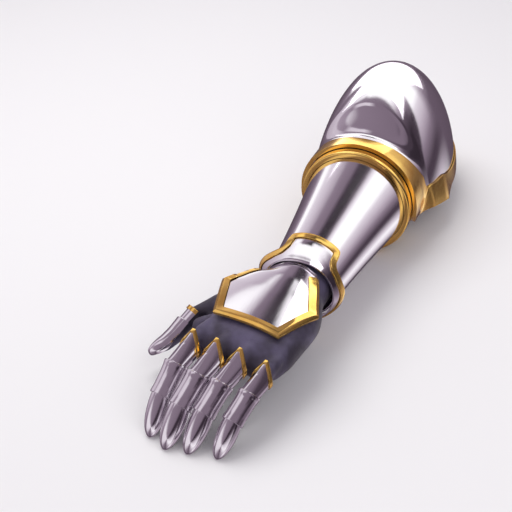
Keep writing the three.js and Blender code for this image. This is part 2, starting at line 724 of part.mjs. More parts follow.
function fingerTube({ knuckle, middle, tip }, { size, fall }, wall) {
  const at = (frame, x, radius, tilt = 0) =>
    ({ matrix: frame.matrixWorld, x: x * size, radius: radius * size, tilt });
  return tube([
    at(knuckle, -24 + wall, 3),
    at(knuckle, -8, 7.4),
    at(knuckle, 8, 7.6),
    at(middle, 0, 7.5, -fall[1] / 2),
    at(middle, 14, 7.5),
    at(tip, 0, 6.3, -fall[2] / 2),
    at(tip, 14, 6.6),
    at(tip, 25, 5.4),
    at(tip, 33 - wall, 3.2),
  ], wall);
}

function thumbTube({ base, tip }, wall) {
  const flat = (u, v, h) => new THREE.Matrix4().makeRotationZ(rad(-40)).setPosition(u, -v, h);
  const bent = (x, radius, sweep) => {
    const shift = round(sweep, THUMB.sweepTurn);
    return { matrix: new THREE.Matrix4().setPosition(shift).premultiply(tip.matrixWorld), x, radius };
  };
  return tube([
    { matrix: flat(-12, 31, -2), x: wall, radius: 14 },
    { matrix: flat(-34, 42, -2), x: 0, radius: 17 },
    { matrix: flat(-53, 57, -3), x: 0, radius: 13.5 },
    { matrix: base.matrixWorld, x: 0, radius: 7 },
    { matrix: base.matrixWorld, x: 12, radius: 6.7 },
    bent(2, 6.7, 0),
    bent(14, 7.4, 0.5),
    bent(26, 6.6, 2.6),
    bent(34 - wall, 4.2, 5.4),
  ], wall);
}

function glove(fingers, thumb) {
  const filled = (wall) => {
    const tubes = FINGERS.map((finger, i) => fingerTube(fingers[i], finger, wall));
    return [palmBody(wall), ...tubes, thumbTube(thumb, wall)].map(toManifold)
      .reduce((sum, solid) => sum.add(solid));
  };
  return piece('glove', fromManifold(filled(0).subtract(filled(FINGER.leather))), 'leather');
}

// ---------- the whole gauntlet ----------
function hand() {
  const group = new THREE.Group();
  const frames = FINGERS.map(fingerFrames);
  const thumb = thumbFrames();
  group.add(...frames.map((f) => f.knuckle), thumb.base, thumb.tip);
  group.updateMatrixWorld(true);
  group.add(glove(frames, thumb), handPlate(), handPlateTrim());
  FINGERS.forEach(({ name, size }, i) => {
    frames[i].knuckle.add(knucklePlate(name, size), knuckleTrim(name, size));
    frames[i].middle.add(middlePlate(name, size));
    frames[i].tip.add(hood(`finger_tip_${name}`, TIP, size));
  });
  thumb.base.add(thumbPlate(), thumbTrim());
  thumb.tip.add(hood('thumb_tip', THUMB_TIP, 1));
  group.rotation.set(rad(HAND.pitch), 0, rad(HAND.yaw), 'ZYX');
  return group;
}

const forearm = new THREE.Group();
forearm.add(sleeve(), sleeveLining(), bandRing(), rimRing());
forearm.add(couter(), couterTrim(), cuff(), cuffTrim());

const gauntlet = new THREE.Group();
gauntlet.add(forearm, hand());
const box = new THREE.Box3().setFromObject(gauntlet, true);
const middle = box.getCenter(vec(0, 0, 0));
gauntlet.position.set(-middle.x, -middle.y, -box.min.z);
export default gauntlet;
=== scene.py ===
# Left-hand armoured gauntlet lying palm down: polished steel plates with gold-coloured brass
# edgings over a leather glove, an open forearm sleeve, and a domed cap for the elbow.
import math

import bmesh
import bpy
import numpy as np
from mathutils import Euler, Matrix, Vector


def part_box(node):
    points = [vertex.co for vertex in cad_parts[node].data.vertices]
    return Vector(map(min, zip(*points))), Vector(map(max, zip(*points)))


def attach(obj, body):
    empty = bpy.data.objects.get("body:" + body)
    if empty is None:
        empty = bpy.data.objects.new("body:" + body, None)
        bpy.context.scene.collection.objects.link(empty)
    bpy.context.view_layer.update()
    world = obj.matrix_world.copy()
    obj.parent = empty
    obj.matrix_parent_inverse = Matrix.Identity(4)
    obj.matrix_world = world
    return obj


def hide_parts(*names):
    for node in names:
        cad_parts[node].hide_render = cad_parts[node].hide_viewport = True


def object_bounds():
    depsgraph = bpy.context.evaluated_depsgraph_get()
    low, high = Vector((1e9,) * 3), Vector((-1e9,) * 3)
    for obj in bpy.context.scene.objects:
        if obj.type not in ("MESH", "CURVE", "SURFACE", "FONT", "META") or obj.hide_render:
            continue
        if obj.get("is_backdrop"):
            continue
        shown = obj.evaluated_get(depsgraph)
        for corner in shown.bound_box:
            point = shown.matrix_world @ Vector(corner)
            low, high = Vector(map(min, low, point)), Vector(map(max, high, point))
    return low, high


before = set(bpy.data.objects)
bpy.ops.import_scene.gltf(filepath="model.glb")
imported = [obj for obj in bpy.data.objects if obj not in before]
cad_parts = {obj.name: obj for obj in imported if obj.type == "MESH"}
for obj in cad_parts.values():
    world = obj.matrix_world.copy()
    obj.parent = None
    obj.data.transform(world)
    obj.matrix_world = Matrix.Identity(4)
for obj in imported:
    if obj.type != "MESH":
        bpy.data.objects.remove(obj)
cad_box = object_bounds()

# ---------- where the arm lies, and the camera ----------
# Every piece is laid out round the forearm's axis in millimetres: the wrist is the origin, +Y goes
# to the elbow, +X to the little finger and +Z off the back of the hand. The sleeve gives the place.
SLEEVE_FRONT, SLEEVE_BACK = -3.0, 152.5
sleeve_low, sleeve_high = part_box("sleeve")
WRIST = np.array([
    (sleeve_low.x + sleeve_high.x) / 2,
    sleeve_low.y - SLEEVE_FRONT / 1000,
    (sleeve_low.z + sleeve_high.z) / 2,
])


def in_metres(points):
    return np.asarray(points, float) / 1000 + WRIST


AZIMUTH, ELEVATION, ROLL = (math.radians(v) for v in (23.748, 36.768, -3.674))
CAMERA_DISTANCE = 1.12849
to_camera = Matrix.Rotation(AZIMUTH, 3, "Z") @ Matrix.Rotation(math.pi / 2 - ELEVATION, 3, "X")
camera = bpy.data.objects.new("camera", bpy.data.cameras.new("camera"))
camera.data.lens = 85.4
camera.data.sensor_width = 36
camera.data.shift_x = -0.093
camera.data.shift_y = 0.087
aim = in_metres([0, 0, -20])
camera.matrix_world = (to_camera @ Matrix.Rotation(ROLL, 3, "Z")).to_4x4()
camera.location = aim + CAMERA_DISTANCE * np.array(to_camera.col[2])
bpy.context.scene.collection.objects.link(camera)
bpy.context.scene.camera = camera
bpy.context.scene.view_settings.view_transform = "Standard"


# ---------- floor and studio light ----------
# A pale floor under one large softbox. The room round it is what the polished plates mirror: long
# light and dark panels that run along the arm, softer and paler towards the fingers.
def linear(red, green, blue):
    """The light of a screen colour given from 0 to 255."""
    return tuple((v / 255) ** 2.2 for v in (red, green, blue)) + (1.0,)


class Value:
    """A number or colour in a node tree. A sum on it adds a Math node."""

    def __init__(self, tree, socket):
        self.tree, self.socket = tree, socket

    def math(self, operation, a, b):
        return self.tree.add("ShaderNodeMath", {"operation": operation}, {0: a, 1: b})

    def __add__(self, other):
        return self.math("ADD", self, other)

    def __mul__(self, other):
        return self.math("MULTIPLY", self, other)

    __radd__ = __add__
    __rmul__ = __mul__


class Nodes:
    """A node tree, and one method that adds a node to it."""

    def __init__(self, tree):
        self.tree = tree

    def add(self, kind, settings=None, inputs=None, output=0):
        node = self.tree.nodes.new(kind)
        for name, value in (settings or {}).items():
            if name == "stops":
                self.set_stops(node.color_ramp, value)
            else:
                setattr(node, name, value)
        for name, value in (inputs or {}).items():
            self.feed(node.inputs[name], value)
        return Value(self, node.outputs[output])

    def feed(self, socket, value):
        if isinstance(value, Value):
            self.tree.links.new(value.socket, socket)
        else:
            socket.default_value = value

    def set_stops(self, ramp, stops):
        ramp.elements.remove(ramp.elements[1])
        ramp.elements[0].position, ramp.elements[0].color = stops[0]
        for place, colour in stops[1:]:
            ramp.elements.new(place).color = colour

    def between(self, value, low, high):
        """0 below low, 1 above high, and an even change from one to the other."""
        settings = {"interpolation_type": "SMOOTHSTEP"}
        return self.add("ShaderNodeMapRange", settings,
                        {"Value": value, "From Min": low, "From Max": high})

    def blend(self, share, a, b):
        """Colour a where share is 0 and colour b where it is 1."""
        return self.add("ShaderNodeMix", {"data_type": "RGBA"}, {0: share, 6: a, 7: b}, 2)


# each zone of panels: where it starts and is full, going from the fingers to the elbow, and its
# panels by their angle round the arm, from straight up (0) to the little finger's side (90)
PANEL_ZONES = (
    ((-3, -2), (
        (-180, 80), (-130, 130), (-100, 210), (-68, 216), (-48, 122), (44, 110), (60, 62), (76, 42),
        (92, 84), (108, 190), (130, 234), (150, 160), (180, 80))),
    ((-0.5, -0.4), (
        (-180, 72), (-118, 74), (-95, 120), (-76, 150), (-56, 128), (-46, 196), (-20, 204),
        (-6, 114), (56, 112), (76, 70), (96, 40), (110, 58), (134, 180), (150, 226), (165, 150),
        (180, 72))),
    ((-0.14, -0.06), (
        (-180, 90), (-100, 150), (-78, 190), (-64, 184), (-50, 128), (-20, 118), (10, 110),
        (36, 90), (58, 62), (84, 60), (110, 100), (140, 150), (180, 90))),
    ((0.12, 0.2), (
        (-180, 90), (-120, 120), (-90, 176), (-70, 188), (-55, 206), (-40, 236), (-28, 255),
        (20, 255), (30, 226), (42, 150), (54, 86), (72, 48), (104, 44), (128, 110), (150, 170),
        (180, 90))),
    ((0.44, 0.5), (
        (-180, 80), (-100, 100), (-70, 112), (-52, 126), (-47, 190), (-43, 250), (-33, 250),
        (-29, 180), (-26, 114), (-19, 108), (-12, 58), (-8, 46), (-3, 52), (2, 244), (22, 255),
        (34, 236), (50, 130), (66, 62), (100, 52), (130, 160), (180, 80))),
    ((0.6, 0.62), (
        (-180, 62), (-140, 70), (-110, 88), (-92, 112), (-84, 150), (-78, 250), (-71, 250),
        (-64, 210), (-50, 190), (-40, 166), (-30, 126), (-12, 114), (-4, 64), (3, 44), (11, 48),
        (17, 84), (24, 204), (32, 255), (60, 255), (68, 212), (82, 178), (97, 122), (112, 64),
        (120, 68), (134, 190), (146, 240), (160, 200), (180, 80))),
    ((0.82, 0.92), (
        (-180, 80), (-90, 106), (-60, 118), (-30, 170), (0, 188), (40, 178), (60, 150), (90, 92),
        (180, 80))),
)
PANEL_LIGHT = 1.3
PLUM_DEPTH, PLUM = 14, (0.4, -0.6, 0.35)


def panel_stops(panels):
    """Ramp stops for panels, with a plum tint that is strongest in the mid greys."""
    stops = []
    for angle, grey in panels:
        tint = PLUM_DEPTH * math.sin(math.pi * grey / 255)
        colour = linear(*(grey + tint * share for share in PLUM))
        stops.append(((angle + 180) / 360, colour))
    return stops


world = bpy.data.worlds.new("studio")
world.use_nodes = True
bpy.context.scene.world = world
studio = Nodes(world.node_tree)
direction = studio.add("ShaderNodeTexCoord")
across, along, upwards = (
    studio.add("ShaderNodeSeparateXYZ", {}, {0: direction}, k) for k in range(3))
turn = across.math("ARCTAN2", across, upwards) * (0.5 / math.pi) + 0.5
# past the middle line, towards the little finger, zones start a little nearer the fingers
LEAN, LEAN_START, LEAN_FULL = 0.05, 0.41, 0.44
leaning = along + LEAN * studio.between(turn, LEAN_START, LEAN_FULL)
mirrored = (0.0, 0.0, 0.0, 1.0)
for (start, full), panels in PANEL_ZONES:
    zone = studio.add("ShaderNodeValToRGB", {"stops": panel_stops(panels)}, {0: turn})
    mirrored = studio.blend(studio.between(leaning, start, full), mirrored, zone)
glossy = studio.add("ShaderNodeLightPath", {}, {}, "Is Glossy Ray")
AMBIENT = (0.50, 0.48, 0.53, 1)
background = world.node_tree.nodes["Background"]
studio.feed(background.inputs["Color"], studio.blend(glossy, AMBIENT, mirrored))
studio.feed(background.inputs["Strength"], glossy * (PANEL_LIGHT - 1) + 1)


def softbox(name, place, size, power):
    light = bpy.data.lights.new(name, "AREA")
    light.size = size
    light.energy = power
    lamp = bpy.data.objects.new(name, light)
    lamp.location = in_metres(place)
    lamp.rotation_euler = (lamp.location - Vector(aim)).to_track_quat("Z", "Y").to_euler()
    lamp.visible_glossy = lamp.visible_camera = False
    bpy.context.scene.collection.objects.link(lamp)


softbox("key_softbox", (-500, 300, 1300), 1.1, 13)
softbox("fill_softbox", (900, -500, 900), 0.9, 4)


# watts a square metre
PANEL_POWER = 4.6


def glossy_panel(name, middle, across, length, back):
    """A small light panel that lights only highlights; back is the way it faces away from."""
    light = bpy.data.lights.new(name, "AREA")
    light.shape = "RECTANGLE"
    light.size, light.size_y = across / 1000, length / 1000
    light.color = (1, 0.97, 1)
    light.energy = PANEL_POWER * light.size * light.size_y
    lamp = bpy.data.objects.new(name, light)
    z = Vector(back).normalized()
    x = Vector((1, 0, 0))
    lamp.matrix_world = Matrix((x, z.cross(x), z)).transposed().to_4x4()
    lamp.location = in_metres(middle)
    for way in ("camera", "diffuse", "transmission", "volume_scatter"):
        setattr(lamp, f"visible_{way}", False)
    bpy.context.scene.collection.objects.link(lamp)


# two panels over the elbow cap's top and back, and one over the little finger's side of the hand
# plate
glossy_panel("cap_panel_top", (-49, 290, 158.5), 282, 176, (0, -93, 150))
glossy_panel("cap_panel_back", (-49, 365, 150), 282, 110, (0, 1, 0))
glossy_panel("hand_panel", (39.5, -26, 62), 45, 60, (0, 0, 1))

FLOOR_HALF = 4.0
corners = [(x * FLOOR_HALF, y * FLOOR_HALF, 0) for x, y in ((-1, -1), (1, -1), (1, 1), (-1, 1))]
floor_mesh = bpy.data.meshes.new("floor")
floor_mesh.from_pydata(corners, [], [(0, 1, 2, 3)])
floor = bpy.data.objects.new("floor", floor_mesh)
bpy.context.scene.collection.objects.link(floor)
paper = bpy.data.materials.new("floor paper")
paper.use_nodes = True
paper_shader = paper.node_tree.nodes["Principled BSDF"]
paper_shader.inputs["Base Color"].default_value = (0.86, 0.85, 0.84, 1)
paper_shader.inputs["Roughness"].default_value = 0.8
floor_mesh.materials.append(paper)
floor.visible_glossy = False
floor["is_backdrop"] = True


# ---------- leather lining ----------
# A tube of smooth dark leather inside the sleeve, turned out behind it into a collar that shows
# between the two gold rings. Its walls are glued up from one skin and are 1.5 mm thick.
class Finish(Nodes):
    """A material, whose nodes read the place on the object."""

    NOISE_ROUGHNESS = 0.55

    def __init__(self, name):
        self.material = bpy.data.materials.new(name)
        self.material.use_nodes = True
        super().__init__(self.material.node_tree)
        self.shader = self.tree.nodes["Principled BSDF"]
        self.place = self.add("ShaderNodeTexCoord", output="Object")

    def surface(self, **values):
        for name, value in values.items():
            self.feed(self.shader.inputs[name.replace("_", " ")], value)

    def noise(self, scale, stretch=(1, 1, 1), detail=3.0):
        place = self.add("ShaderNodeMapping", {}, {"Vector": self.place, "Scale": stretch})
        return self.add("ShaderNodeTexNoise", {}, {
            "Vector": place, "Scale": scale, "Detail": detail, "Roughness": self.NOISE_ROUGHNESS})

    def bump(self, height, depth, strength):
        return self.add("ShaderNodeBump", {}, {
            "Height": height, "Distance": depth, "Strength": strength})


leather = Finish("dark leather")
pores = leather.add("ShaderNodeTexVoronoi", {"feature": "F1"},
                    {"Vector": leather.place, "Scale": 780.0})
creases = leather.noise(170.0, detail=5.0)
clouds = leather.noise(26.0)
folds = leather.noise(34.0, (1.0, 0.28, 1.0), detail=1.5)
# base colour: dark leather with lighter purple patches spread by cloud noise; the patches are
# painted highlights
leather_colour_with_painted_highlights = leather.blend(leather.between(clouds, 0.38, 0.68),
                               (0.036, 0.029, 0.046, 1), (0.105, 0.088, 0.155, 1))
leather.surface(
    Base_Color=leather_colour_with_painted_highlights,
    Roughness=0.40 + 0.16 * creases,
    Normal=leather.bump(pores * 0.6 + creases + folds * 14, 0.00022, 0.75),
    Sheen_Weight=0.12,
    Sheen_Roughness=0.4,
)


def rounded(outline, radius, steps=4):
    """A closed outline of (across, along) with a small round on each corner."""
    outline = np.asarray(outline, float)
    points = []
    for i, corner in enumerate(outline):
        before, after = outline[i - 1] - corner, outline[(i + 1) % len(outline)] - corner
        start = corner + before * min(radius / np.linalg.norm(before), 0.45)
        end = corner + after * min(radius / np.linalg.norm(after), 0.45)
        for t in np.linspace(0, 1, steps):
            points.append((1 - t) ** 2 * start + 2 * t * (1 - t) * corner + t * t * end)
    return np.array(points)


def lathe_tree():
    """Geometry Nodes that turn a profile, its X the radius and Y the way along, round the arm."""
    tree = bpy.data.node_groups.new("turned round the arm", "GeometryNodeTree")
    for name, kind, way in (
            ("Profile", "NodeSocketGeometry", "INPUT"), ("Sides", "NodeSocketInt", "INPUT"),
            ("Finish", "NodeSocketMaterial", "INPUT"), ("Ring", "NodeSocketGeometry", "OUTPUT")):
        tree.interface.new_socket(name, in_out=way, socket_type=kind)
    nodes = Nodes(tree)
    given = tree.nodes.new("NodeGroupInput")
    profile, sides, finish = (Value(nodes, given.outputs[k]) for k in range(3))
    count = nodes.add("GeometryNodeAttributeDomainSize", {}, {"Geometry": profile})
    grid = nodes.add("GeometryNodeMeshGrid", {}, {"Vertices X": sides + 1, "Vertices Y": count})
    index = nodes.add("GeometryNodeInputIndex")
    row = index.math("MODULO", index, count)
    share = index.math("FLOOR", index.math("DIVIDE", index, count), 0) * (2 * math.pi)
    turn = share.math("DIVIDE", share, sides)
    position = nodes.add("GeometryNodeInputPosition")
    point = nodes.add("GeometryNodeSampleIndex", {"data_type": "FLOAT_VECTOR"},
                      {"Geometry": profile, "Value": position, "Index": row})
    radius = nodes.add("ShaderNodeSeparateXYZ", {}, {0: point}, 0)
    height = nodes.add("ShaderNodeSeparateXYZ", {}, {0: point}, 1)
    place = nodes.add("ShaderNodeCombineXYZ", {}, {
        "X": radius * turn.math("SINE", turn, 0), "Y": height,
        "Z": radius * turn.math("COSINE", turn, 0)})
    ring = nodes.add("GeometryNodeSetPosition", {}, {"Geometry": grid, "Position": place})
    ring = nodes.add("GeometryNodeMergeByDistance", {}, {"Geometry": ring, "Distance": 1e-6})
    ring = nodes.add("GeometryNodeRealizeInstances", {}, {"Geometry": ring})
    ring = nodes.add("GeometryNodeSetMaterial", {}, {"Geometry": ring, "Material": finish})
    nodes.feed(tree.nodes.new("NodeGroupOutput").inputs[0], ring)
    return tree


def worked(piece, crease):
    """The piece with its modifiers worked into a plain mesh whose faces point outwards, smooth but
    for the edges that turn by more than crease degrees."""
    graph = bpy.context.evaluated_depsgraph_get()
    mesh = bpy.data.meshes.new_from_object(piece.evaluated_get(graph))
    piece.modifiers.clear()
    piece.data = mesh
    form = bmesh.new()
    form.from_mesh(mesh)
    bmesh.ops.remove_doubles(form, verts=form.verts, dist=1e-7)
    bmesh.ops.recalc_face_normals(form, faces=form.faces)
    if form.calc_volume(signed=True) < 0:
        bmesh.ops.reverse_faces(form, faces=form.faces)
    form.to_mesh(mesh)
    form.free()
    mesh.shade_smooth()
    mesh.set_sharp_from_angle(angle=math.radians(crease))
    return piece


def fitted(piece, slot, *nodes):
    """The piece takes the place of its plain solids."""
    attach(piece, "root")
    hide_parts(*nodes)
    return piece


turned_round = lathe_tree()
RING_SIDES, RING_CREASE = 160, 12


def ring_piece(name, outline, finish, slot):
    """A ring round the arm from a closed outline of (radius, along)."""
    closed = np.vstack([outline, outline[:1]])
    points = np.column_stack([closed, np.zeros(len(closed))]) / 1000
    mesh = bpy.data.meshes.new(name)
    mesh.from_pydata(points.tolist(), [(i, i + 1) for i in range(len(points) - 1)], [])
    piece = bpy.data.objects.new(name + "_shown", mesh)
    bpy.context.scene.collection.objects.link(piece)
    turning = piece.modifiers.new("turned", "NODES")
    turning.node_group = turned_round
    given = {"Sides": RING_SIDES, "Finish": finish.material}
    for socket in turned_round.interface.items_tree:
        if socket.name in given:
            turning[socket.identifier] = given[socket.name]
    worked(piece, RING_CREASE)
    piece.data.transform(Matrix.Translation(WRIST))
    return fitted(piece, slot, name)


SLEEVE_FRONT_RADIUS, SLEEVE_GAIN, SLEEVE_WAIST = 33.4, 19.2, 1.2


def sleeve_radius(y):
    """Radius of the steel sleeve, which is a little waisted between its two ends."""
    share = (y - SLEEVE_FRONT) / (SLEEVE_BACK - SLEEVE_FRONT)
    return SLEEVE_FRONT_RADIUS + SLEEVE_GAIN * share - SLEEVE_WAIST * math.sin(math.pi * share)


SLEEVE_WALL, LINING_WALL, FIT = 1.6, 1.5, 0.3
LINING_FRONT, COLLAR_FRONT, COLLAR_BACK, COLLAR_RADIUS = 14, 155, 181, 53.6


def cone(radius, start, end, inset, count=12):
    return [(radius(y) - inset, y) for y in np.linspace(start, end, count)]


lining_outline = (
    cone(sleeve_radius, LINING_FRONT, SLEEVE_BACK, SLEEVE_WALL + FIT)
    + [(COLLAR_RADIUS, COLLAR_FRONT), (COLLAR_RADIUS, COLLAR_BACK),
       (COLLAR_RADIUS - LINING_WALL, COLLAR_BACK), (COLLAR_RADIUS - LINING_WALL, COLLAR_FRONT + 1)]
    + cone(sleeve_radius, SLEEVE_BACK, LINING_FRONT, SLEEVE_WALL + FIT + LINING_WALL))
ring_piece("sleeve_lining", rounded(lining_outline, 1.2), leather, "leather")

# ---------- steel sleeve ----------
# One tapered tube of sheet steel, rolled and polished along its length, which slides over the
# lining and runs into the gold ring at the elbow end.
steel = Finish("polished steel")
brushed = steel.noise(620.0, (1, 0.035, 1), detail=2.0)
clouds = steel.noise(16.0, detail=2.0)
steel.surface(
    Base_Color=steel.blend(clouds, (0.86, 0.84, 0.87, 1), (0.79, 0.76, 0.80, 1)),
    Metallic=1.0,
    Roughness=0.07 + 0.05 * clouds + 0.04 * brushed,
    Normal=steel.bump(brushed, 0.00004, 0.5),
)
sleeve_outline = (
    cone(sleeve_radius, SLEEVE_FRONT, SLEEVE_BACK, 0, 24)
    + cone(sleeve_radius, SLEEVE_BACK, SLEEVE_FRONT, SLEEVE_WALL, 24))
ring_piece("sleeve", rounded(sleeve_outline, 0.5), steel, "steel")

# ---------- gold rings ----------
# Two rings of cast brass, gold coloured and polished: one closes over the sleeve's end, the other
# over the lining's collar behind it.
gold = Finish("gold coloured brass")
tarnish = gold.noise(42.0)
gold.surface(
    Base_Color=gold.blend(gold.between(tarnish, 0.42, 0.72),
                          (1.0, 0.66, 0.17, 1), (0.92, 0.54, 0.12, 1)),
    Metallic=0.92,
    Roughness=0.07 + 0.08 * gold.noise(9.0),
    Normal=gold.bump(gold.noise(420.0), 0.00003, 0.4),
)
RING_RADIUS, RING_ROUND, LIP_RADIUS = 57.2, 0.6, 51.0
BAND_FRONT, BAND_BACK, BAND_CHAMFER = 143, 152.8, 1.2
RIM_FRONT, RIM_BACK, LIP_FRONT = 168, 183, 181.3
ring_piece("band_ring", rounded([
    (sleeve_radius(BAND_FRONT) + FIT, BAND_FRONT), (RING_RADIUS - BAND_CHAMFER, BAND_FRONT),
    (RING_RADIUS, BAND_FRONT + BAND_CHAMFER), (RING_RADIUS, BAND_BACK),
    (sleeve_radius(SLEEVE_BACK) + FIT, BAND_BACK)], RING_ROUND), gold, "gold")
ring_piece("rim_ring", rounded([
    (COLLAR_RADIUS + FIT, RIM_FRONT), (RING_RADIUS, RIM_FRONT), (RING_RADIUS, RIM_BACK),
    (LIP_RADIUS, RIM_BACK), (LIP_RADIUS, LIP_FRONT), (COLLAR_RADIUS + FIT, LIP_FRONT),
], RING_ROUND), gold, "gold")


# ---------- elbow cap ----------
# A domed cap of raised sheet steel over the elbow. Its front closes round the forearm as a collar,
# and its sides and back stand free of the lining.
def eased(x, places, values):
    """A smooth curve through rows that never overshoots them."""
    places, values = np.asarray(places, float), np.asarray(values, float)
    steps = np.diff(places)
    slopes = np.diff(values) / steps
    tangents = np.concatenate([slopes[:1], np.zeros(len(slopes) - 1), slopes[-1:]])
    for k in range(1, len(slopes)):
        if slopes[k - 1] * slopes[k] > 0:
            tangents[k] = 2 * slopes[k - 1] * slopes[k] / (slopes[k - 1] + slopes[k])
    k = np.clip(np.searchsorted(places, x) - 1, 0, len(steps) - 1)
    t = np.clip((x - places[k]) / steps[k], 0, 1)
    start, end = values[k], values[k + 1]
    rise = steps[k] * ((t ** 3 - 2 * t * t + t) * tangents[k] + (t ** 3 - t * t) * tangents[k + 1])
    return start + (end - start) * t * t * (3 - 2 * t) + rise


def smooth(t):
    t = np.clip(t, 0, 1)
    return t * t * (3 - 2 * t)


CAP_MIDDLE_Y, CAP_MIDDLE_Z, CAP_HALF_WIDTH, CAP_HALF_LENGTH, CAP_HEIGHT = 247, -27, 68.5, 102, 126
CAP_BACK = CAP_MIDDLE_Y + CAP_HALF_LENGTH
# how much the cap gains from its collar to its widest station, at the sides and at the top
CAP_SIDE_GROWTH, CAP_TOP_GROWTH, CAP_GROWTH_POWER = 9.5, 39, 2.3
CAP_WALL, CAP_FRONT, CAP_COLLAR_RADIUS, CAP_COLLAR_BACK = 1.8, 154.4, 59.9, 166.5
CAP_BLEND_FRONT, CAP_BLEND = 172, 24


def point(x, y, z):
    return np.stack(np.broadcast_arrays(x, y, z), -1).astype(float)


def cap_at(y, beta):
    """Outside of the cap at a station and an angle up from the little finger's side."""
    ahead = (CAP_MIDDLE_Y - y) / (CAP_MIDDLE_Y - CAP_COLLAR_BACK)
    front = np.maximum(ahead, 0) ** CAP_GROWTH_POWER
    behind = np.clip((y - CAP_MIDDLE_Y) / CAP_HALF_LENGTH, 0, 1)
    closing = np.sqrt(1 - behind ** 2)
    half = (CAP_HALF_WIDTH - CAP_SIDE_GROWTH * front) * closing
    height = (CAP_HEIGHT - CAP_TOP_GROWTH * front) * closing
    on_cap = point(half * np.cos(beta), y, CAP_MIDDLE_Z + height * np.sin(beta))
    low = math.asin(CAP_MIDDLE_Z / CAP_COLLAR_RADIUS)
    alpha = math.pi / 2 + (beta - math.pi / 2) * (1 - low / (math.pi / 2))
    on_collar = point(CAP_COLLAR_RADIUS * np.cos(alpha), y, CAP_COLLAR_RADIUS * np.sin(alpha))
    share = smooth((np.asarray(y) - CAP_BLEND_FRONT) / CAP_BLEND)
    return on_collar + (on_cap - on_collar) * share[..., None]


def cap_behind(theta, beta):
    """The same outside behind the widest station, by its angle in plan."""
    out = np.cos(beta)
    return point(CAP_HALF_WIDTH * np.cos(theta) * out,
                 CAP_MIDDLE_Y + CAP_HALF_LENGTH * np.sin(theta) * out,
                 CAP_MIDDLE_Z + CAP_HEIGHT * np.sin(beta))


def outward(surface, a, b, step=1e-3):
    """Way out of a surface of two values."""
    normal = np.cross(surface(a + step, b) - surface(a - step, b),
                      surface(a, b + step) - surface(a, b - step))
    return normal / np.linalg.norm(normal, axis=-1, keepdims=True)


BEVEL_STEPS, BEVEL_ANGLE = 2, 38


def closed_solid(node, sections, finish, slot, ring=False, edge=0.0, crease=24):
    """The piece for a node through closed sections in millimetres, with rounded edges; ring joins
    the last section to the first."""
    name = node + "_shown"
    sections = np.asarray(sections, float)
    rows, count = sections.shape[:2]
    faces = []
    for i in range(rows if ring else rows - 1):
        a, b = i * count, (i + 1) % rows * count
        faces += [(a + j, a + (j + 1) % count, b + (j + 1) % count, b + j) for j in range(count)]
    if not ring:
        faces += [list(range(count)), list(range((rows - 1) * count, rows * count))]
    mesh = bpy.data.meshes.new(name)
    mesh.from_pydata(in_metres(sections.reshape(-1, 3)).tolist(), [], faces)
    mesh.materials.append(finish.material)
    piece = bpy.data.objects.new(name, mesh)
    bpy.context.scene.collection.objects.link(piece)
    worked(piece, crease)
    if edge:
        bevel = piece.modifiers.new("edges", "BEVEL")
        bevel.width = edge / 1000
        bevel.segments = BEVEL_STEPS
        bevel.angle_limit = math.radians(BEVEL_ANGLE)
        bevel.miter_outer = "MITER_ARC"
        worked(piece, crease)
    return fitted(piece, slot, node)


def walled(outer, inner):
    """Closed sections, outside then inside, from two grids of points."""
    return np.concatenate([outer, inner[:, ::-1]], axis=1)


CAP_EDGE = ((154, 160, 172, 190, 208, 226, 270, 349), (19, 8.5, 5.6, 5.4, 3, -0.2, 0.4, 0.4))
cap_stations = np.concatenate([
    np.linspace(CAP_FRONT, CAP_MIDDLE_Y, 44)[:-1],
    CAP_MIDDLE_Y + CAP_HALF_LENGTH * np.sin(np.linspace(0, math.pi / 2, 34))])
cap_edge = np.radians(np.interp(cap_stations, *CAP_EDGE))
cap_turns = cap_edge + (math.pi - 2 * cap_edge) * np.linspace(0, 1, 85)[:, None]
cap_y = np.broadcast_to(cap_stations, cap_turns.shape)
cap_outer = cap_at(cap_y, cap_turns)
cap_inner = cap_outer - CAP_WALL * outward(cap_at, np.minimum(cap_y, CAP_BACK - 0.1), cap_turns)
cap_outer[:, -1] = (0, CAP_BACK, CAP_MIDDLE_Z)
cap_inner[:, -1] = (0, CAP_BACK - CAP_WALL, CAP_MIDDLE_Z)
closed_solid("couter", walled(cap_outer, cap_inner), steel, "steel", edge=0.5)


# ---------- elbow cap edging ----------
# A gold edging bent round the cap's rim: a plain band over the collar, a wide pointed wing low on
# each side, and a plain band round the back.
def strip(surface, start, end, count=17):
    """Points along a surface from an edging's outer side to its inner side."""
    share = np.linspace(0, 1, count)
    return surface(start[0] + (end[0] - start[0]) * share, start[1] + (end[1] - start[1]) * share)


EDGING_CREASE = 15


def edging(node, strips, outs, profile, ring=False, lifts=None, edge=0.3):
    """A gold edging through strips. Each profile row is a top and a base point, as (millimetres
    from the edge, height off the surface, part of the way on to the far side)."""
    strips, outs = np.asarray(strips), np.asarray(outs)
    lifts = np.zeros(len(strips)) if lifts is None else np.asarray(lifts)
    places = np.linspace(0, 1, strips.shape[1])
    corners = [row[0] for row in profile] + [row[1] for row in profile[::-1]]
    sections = []
    for points, out, lift in zip(strips, outs, lifts):
        width = np.linalg.norm(points[-1] - points[0])
        section = []
        for reach, height, further in corners:
            share = min(reach / width, 1)
            share += (1 - share) * further
            on = [np.interp(share, places, points[:, k]) for k in range(3)]
            raised = lift * (1 - share) if height > 0 else 0
            section.append(np.array(on) + out * (height + raised))
        sections.append(section)
    return closed_solid(node, sections, gold, "gold", ring=ring, edge=edge, crease=EDGING_CREASE)


def between_rows(rows, parts):
    """Rows with more of them between, in even steps."""
    rows = np.asarray(rows, float)
    whole = np.arange(len(rows))
    places = np.linspace(0, len(rows) - 1, (len(rows) - 1) * parts + 1)
    return np.column_stack([np.interp(places, whole, rows[:, k]) for k in range(rows.shape[1])])


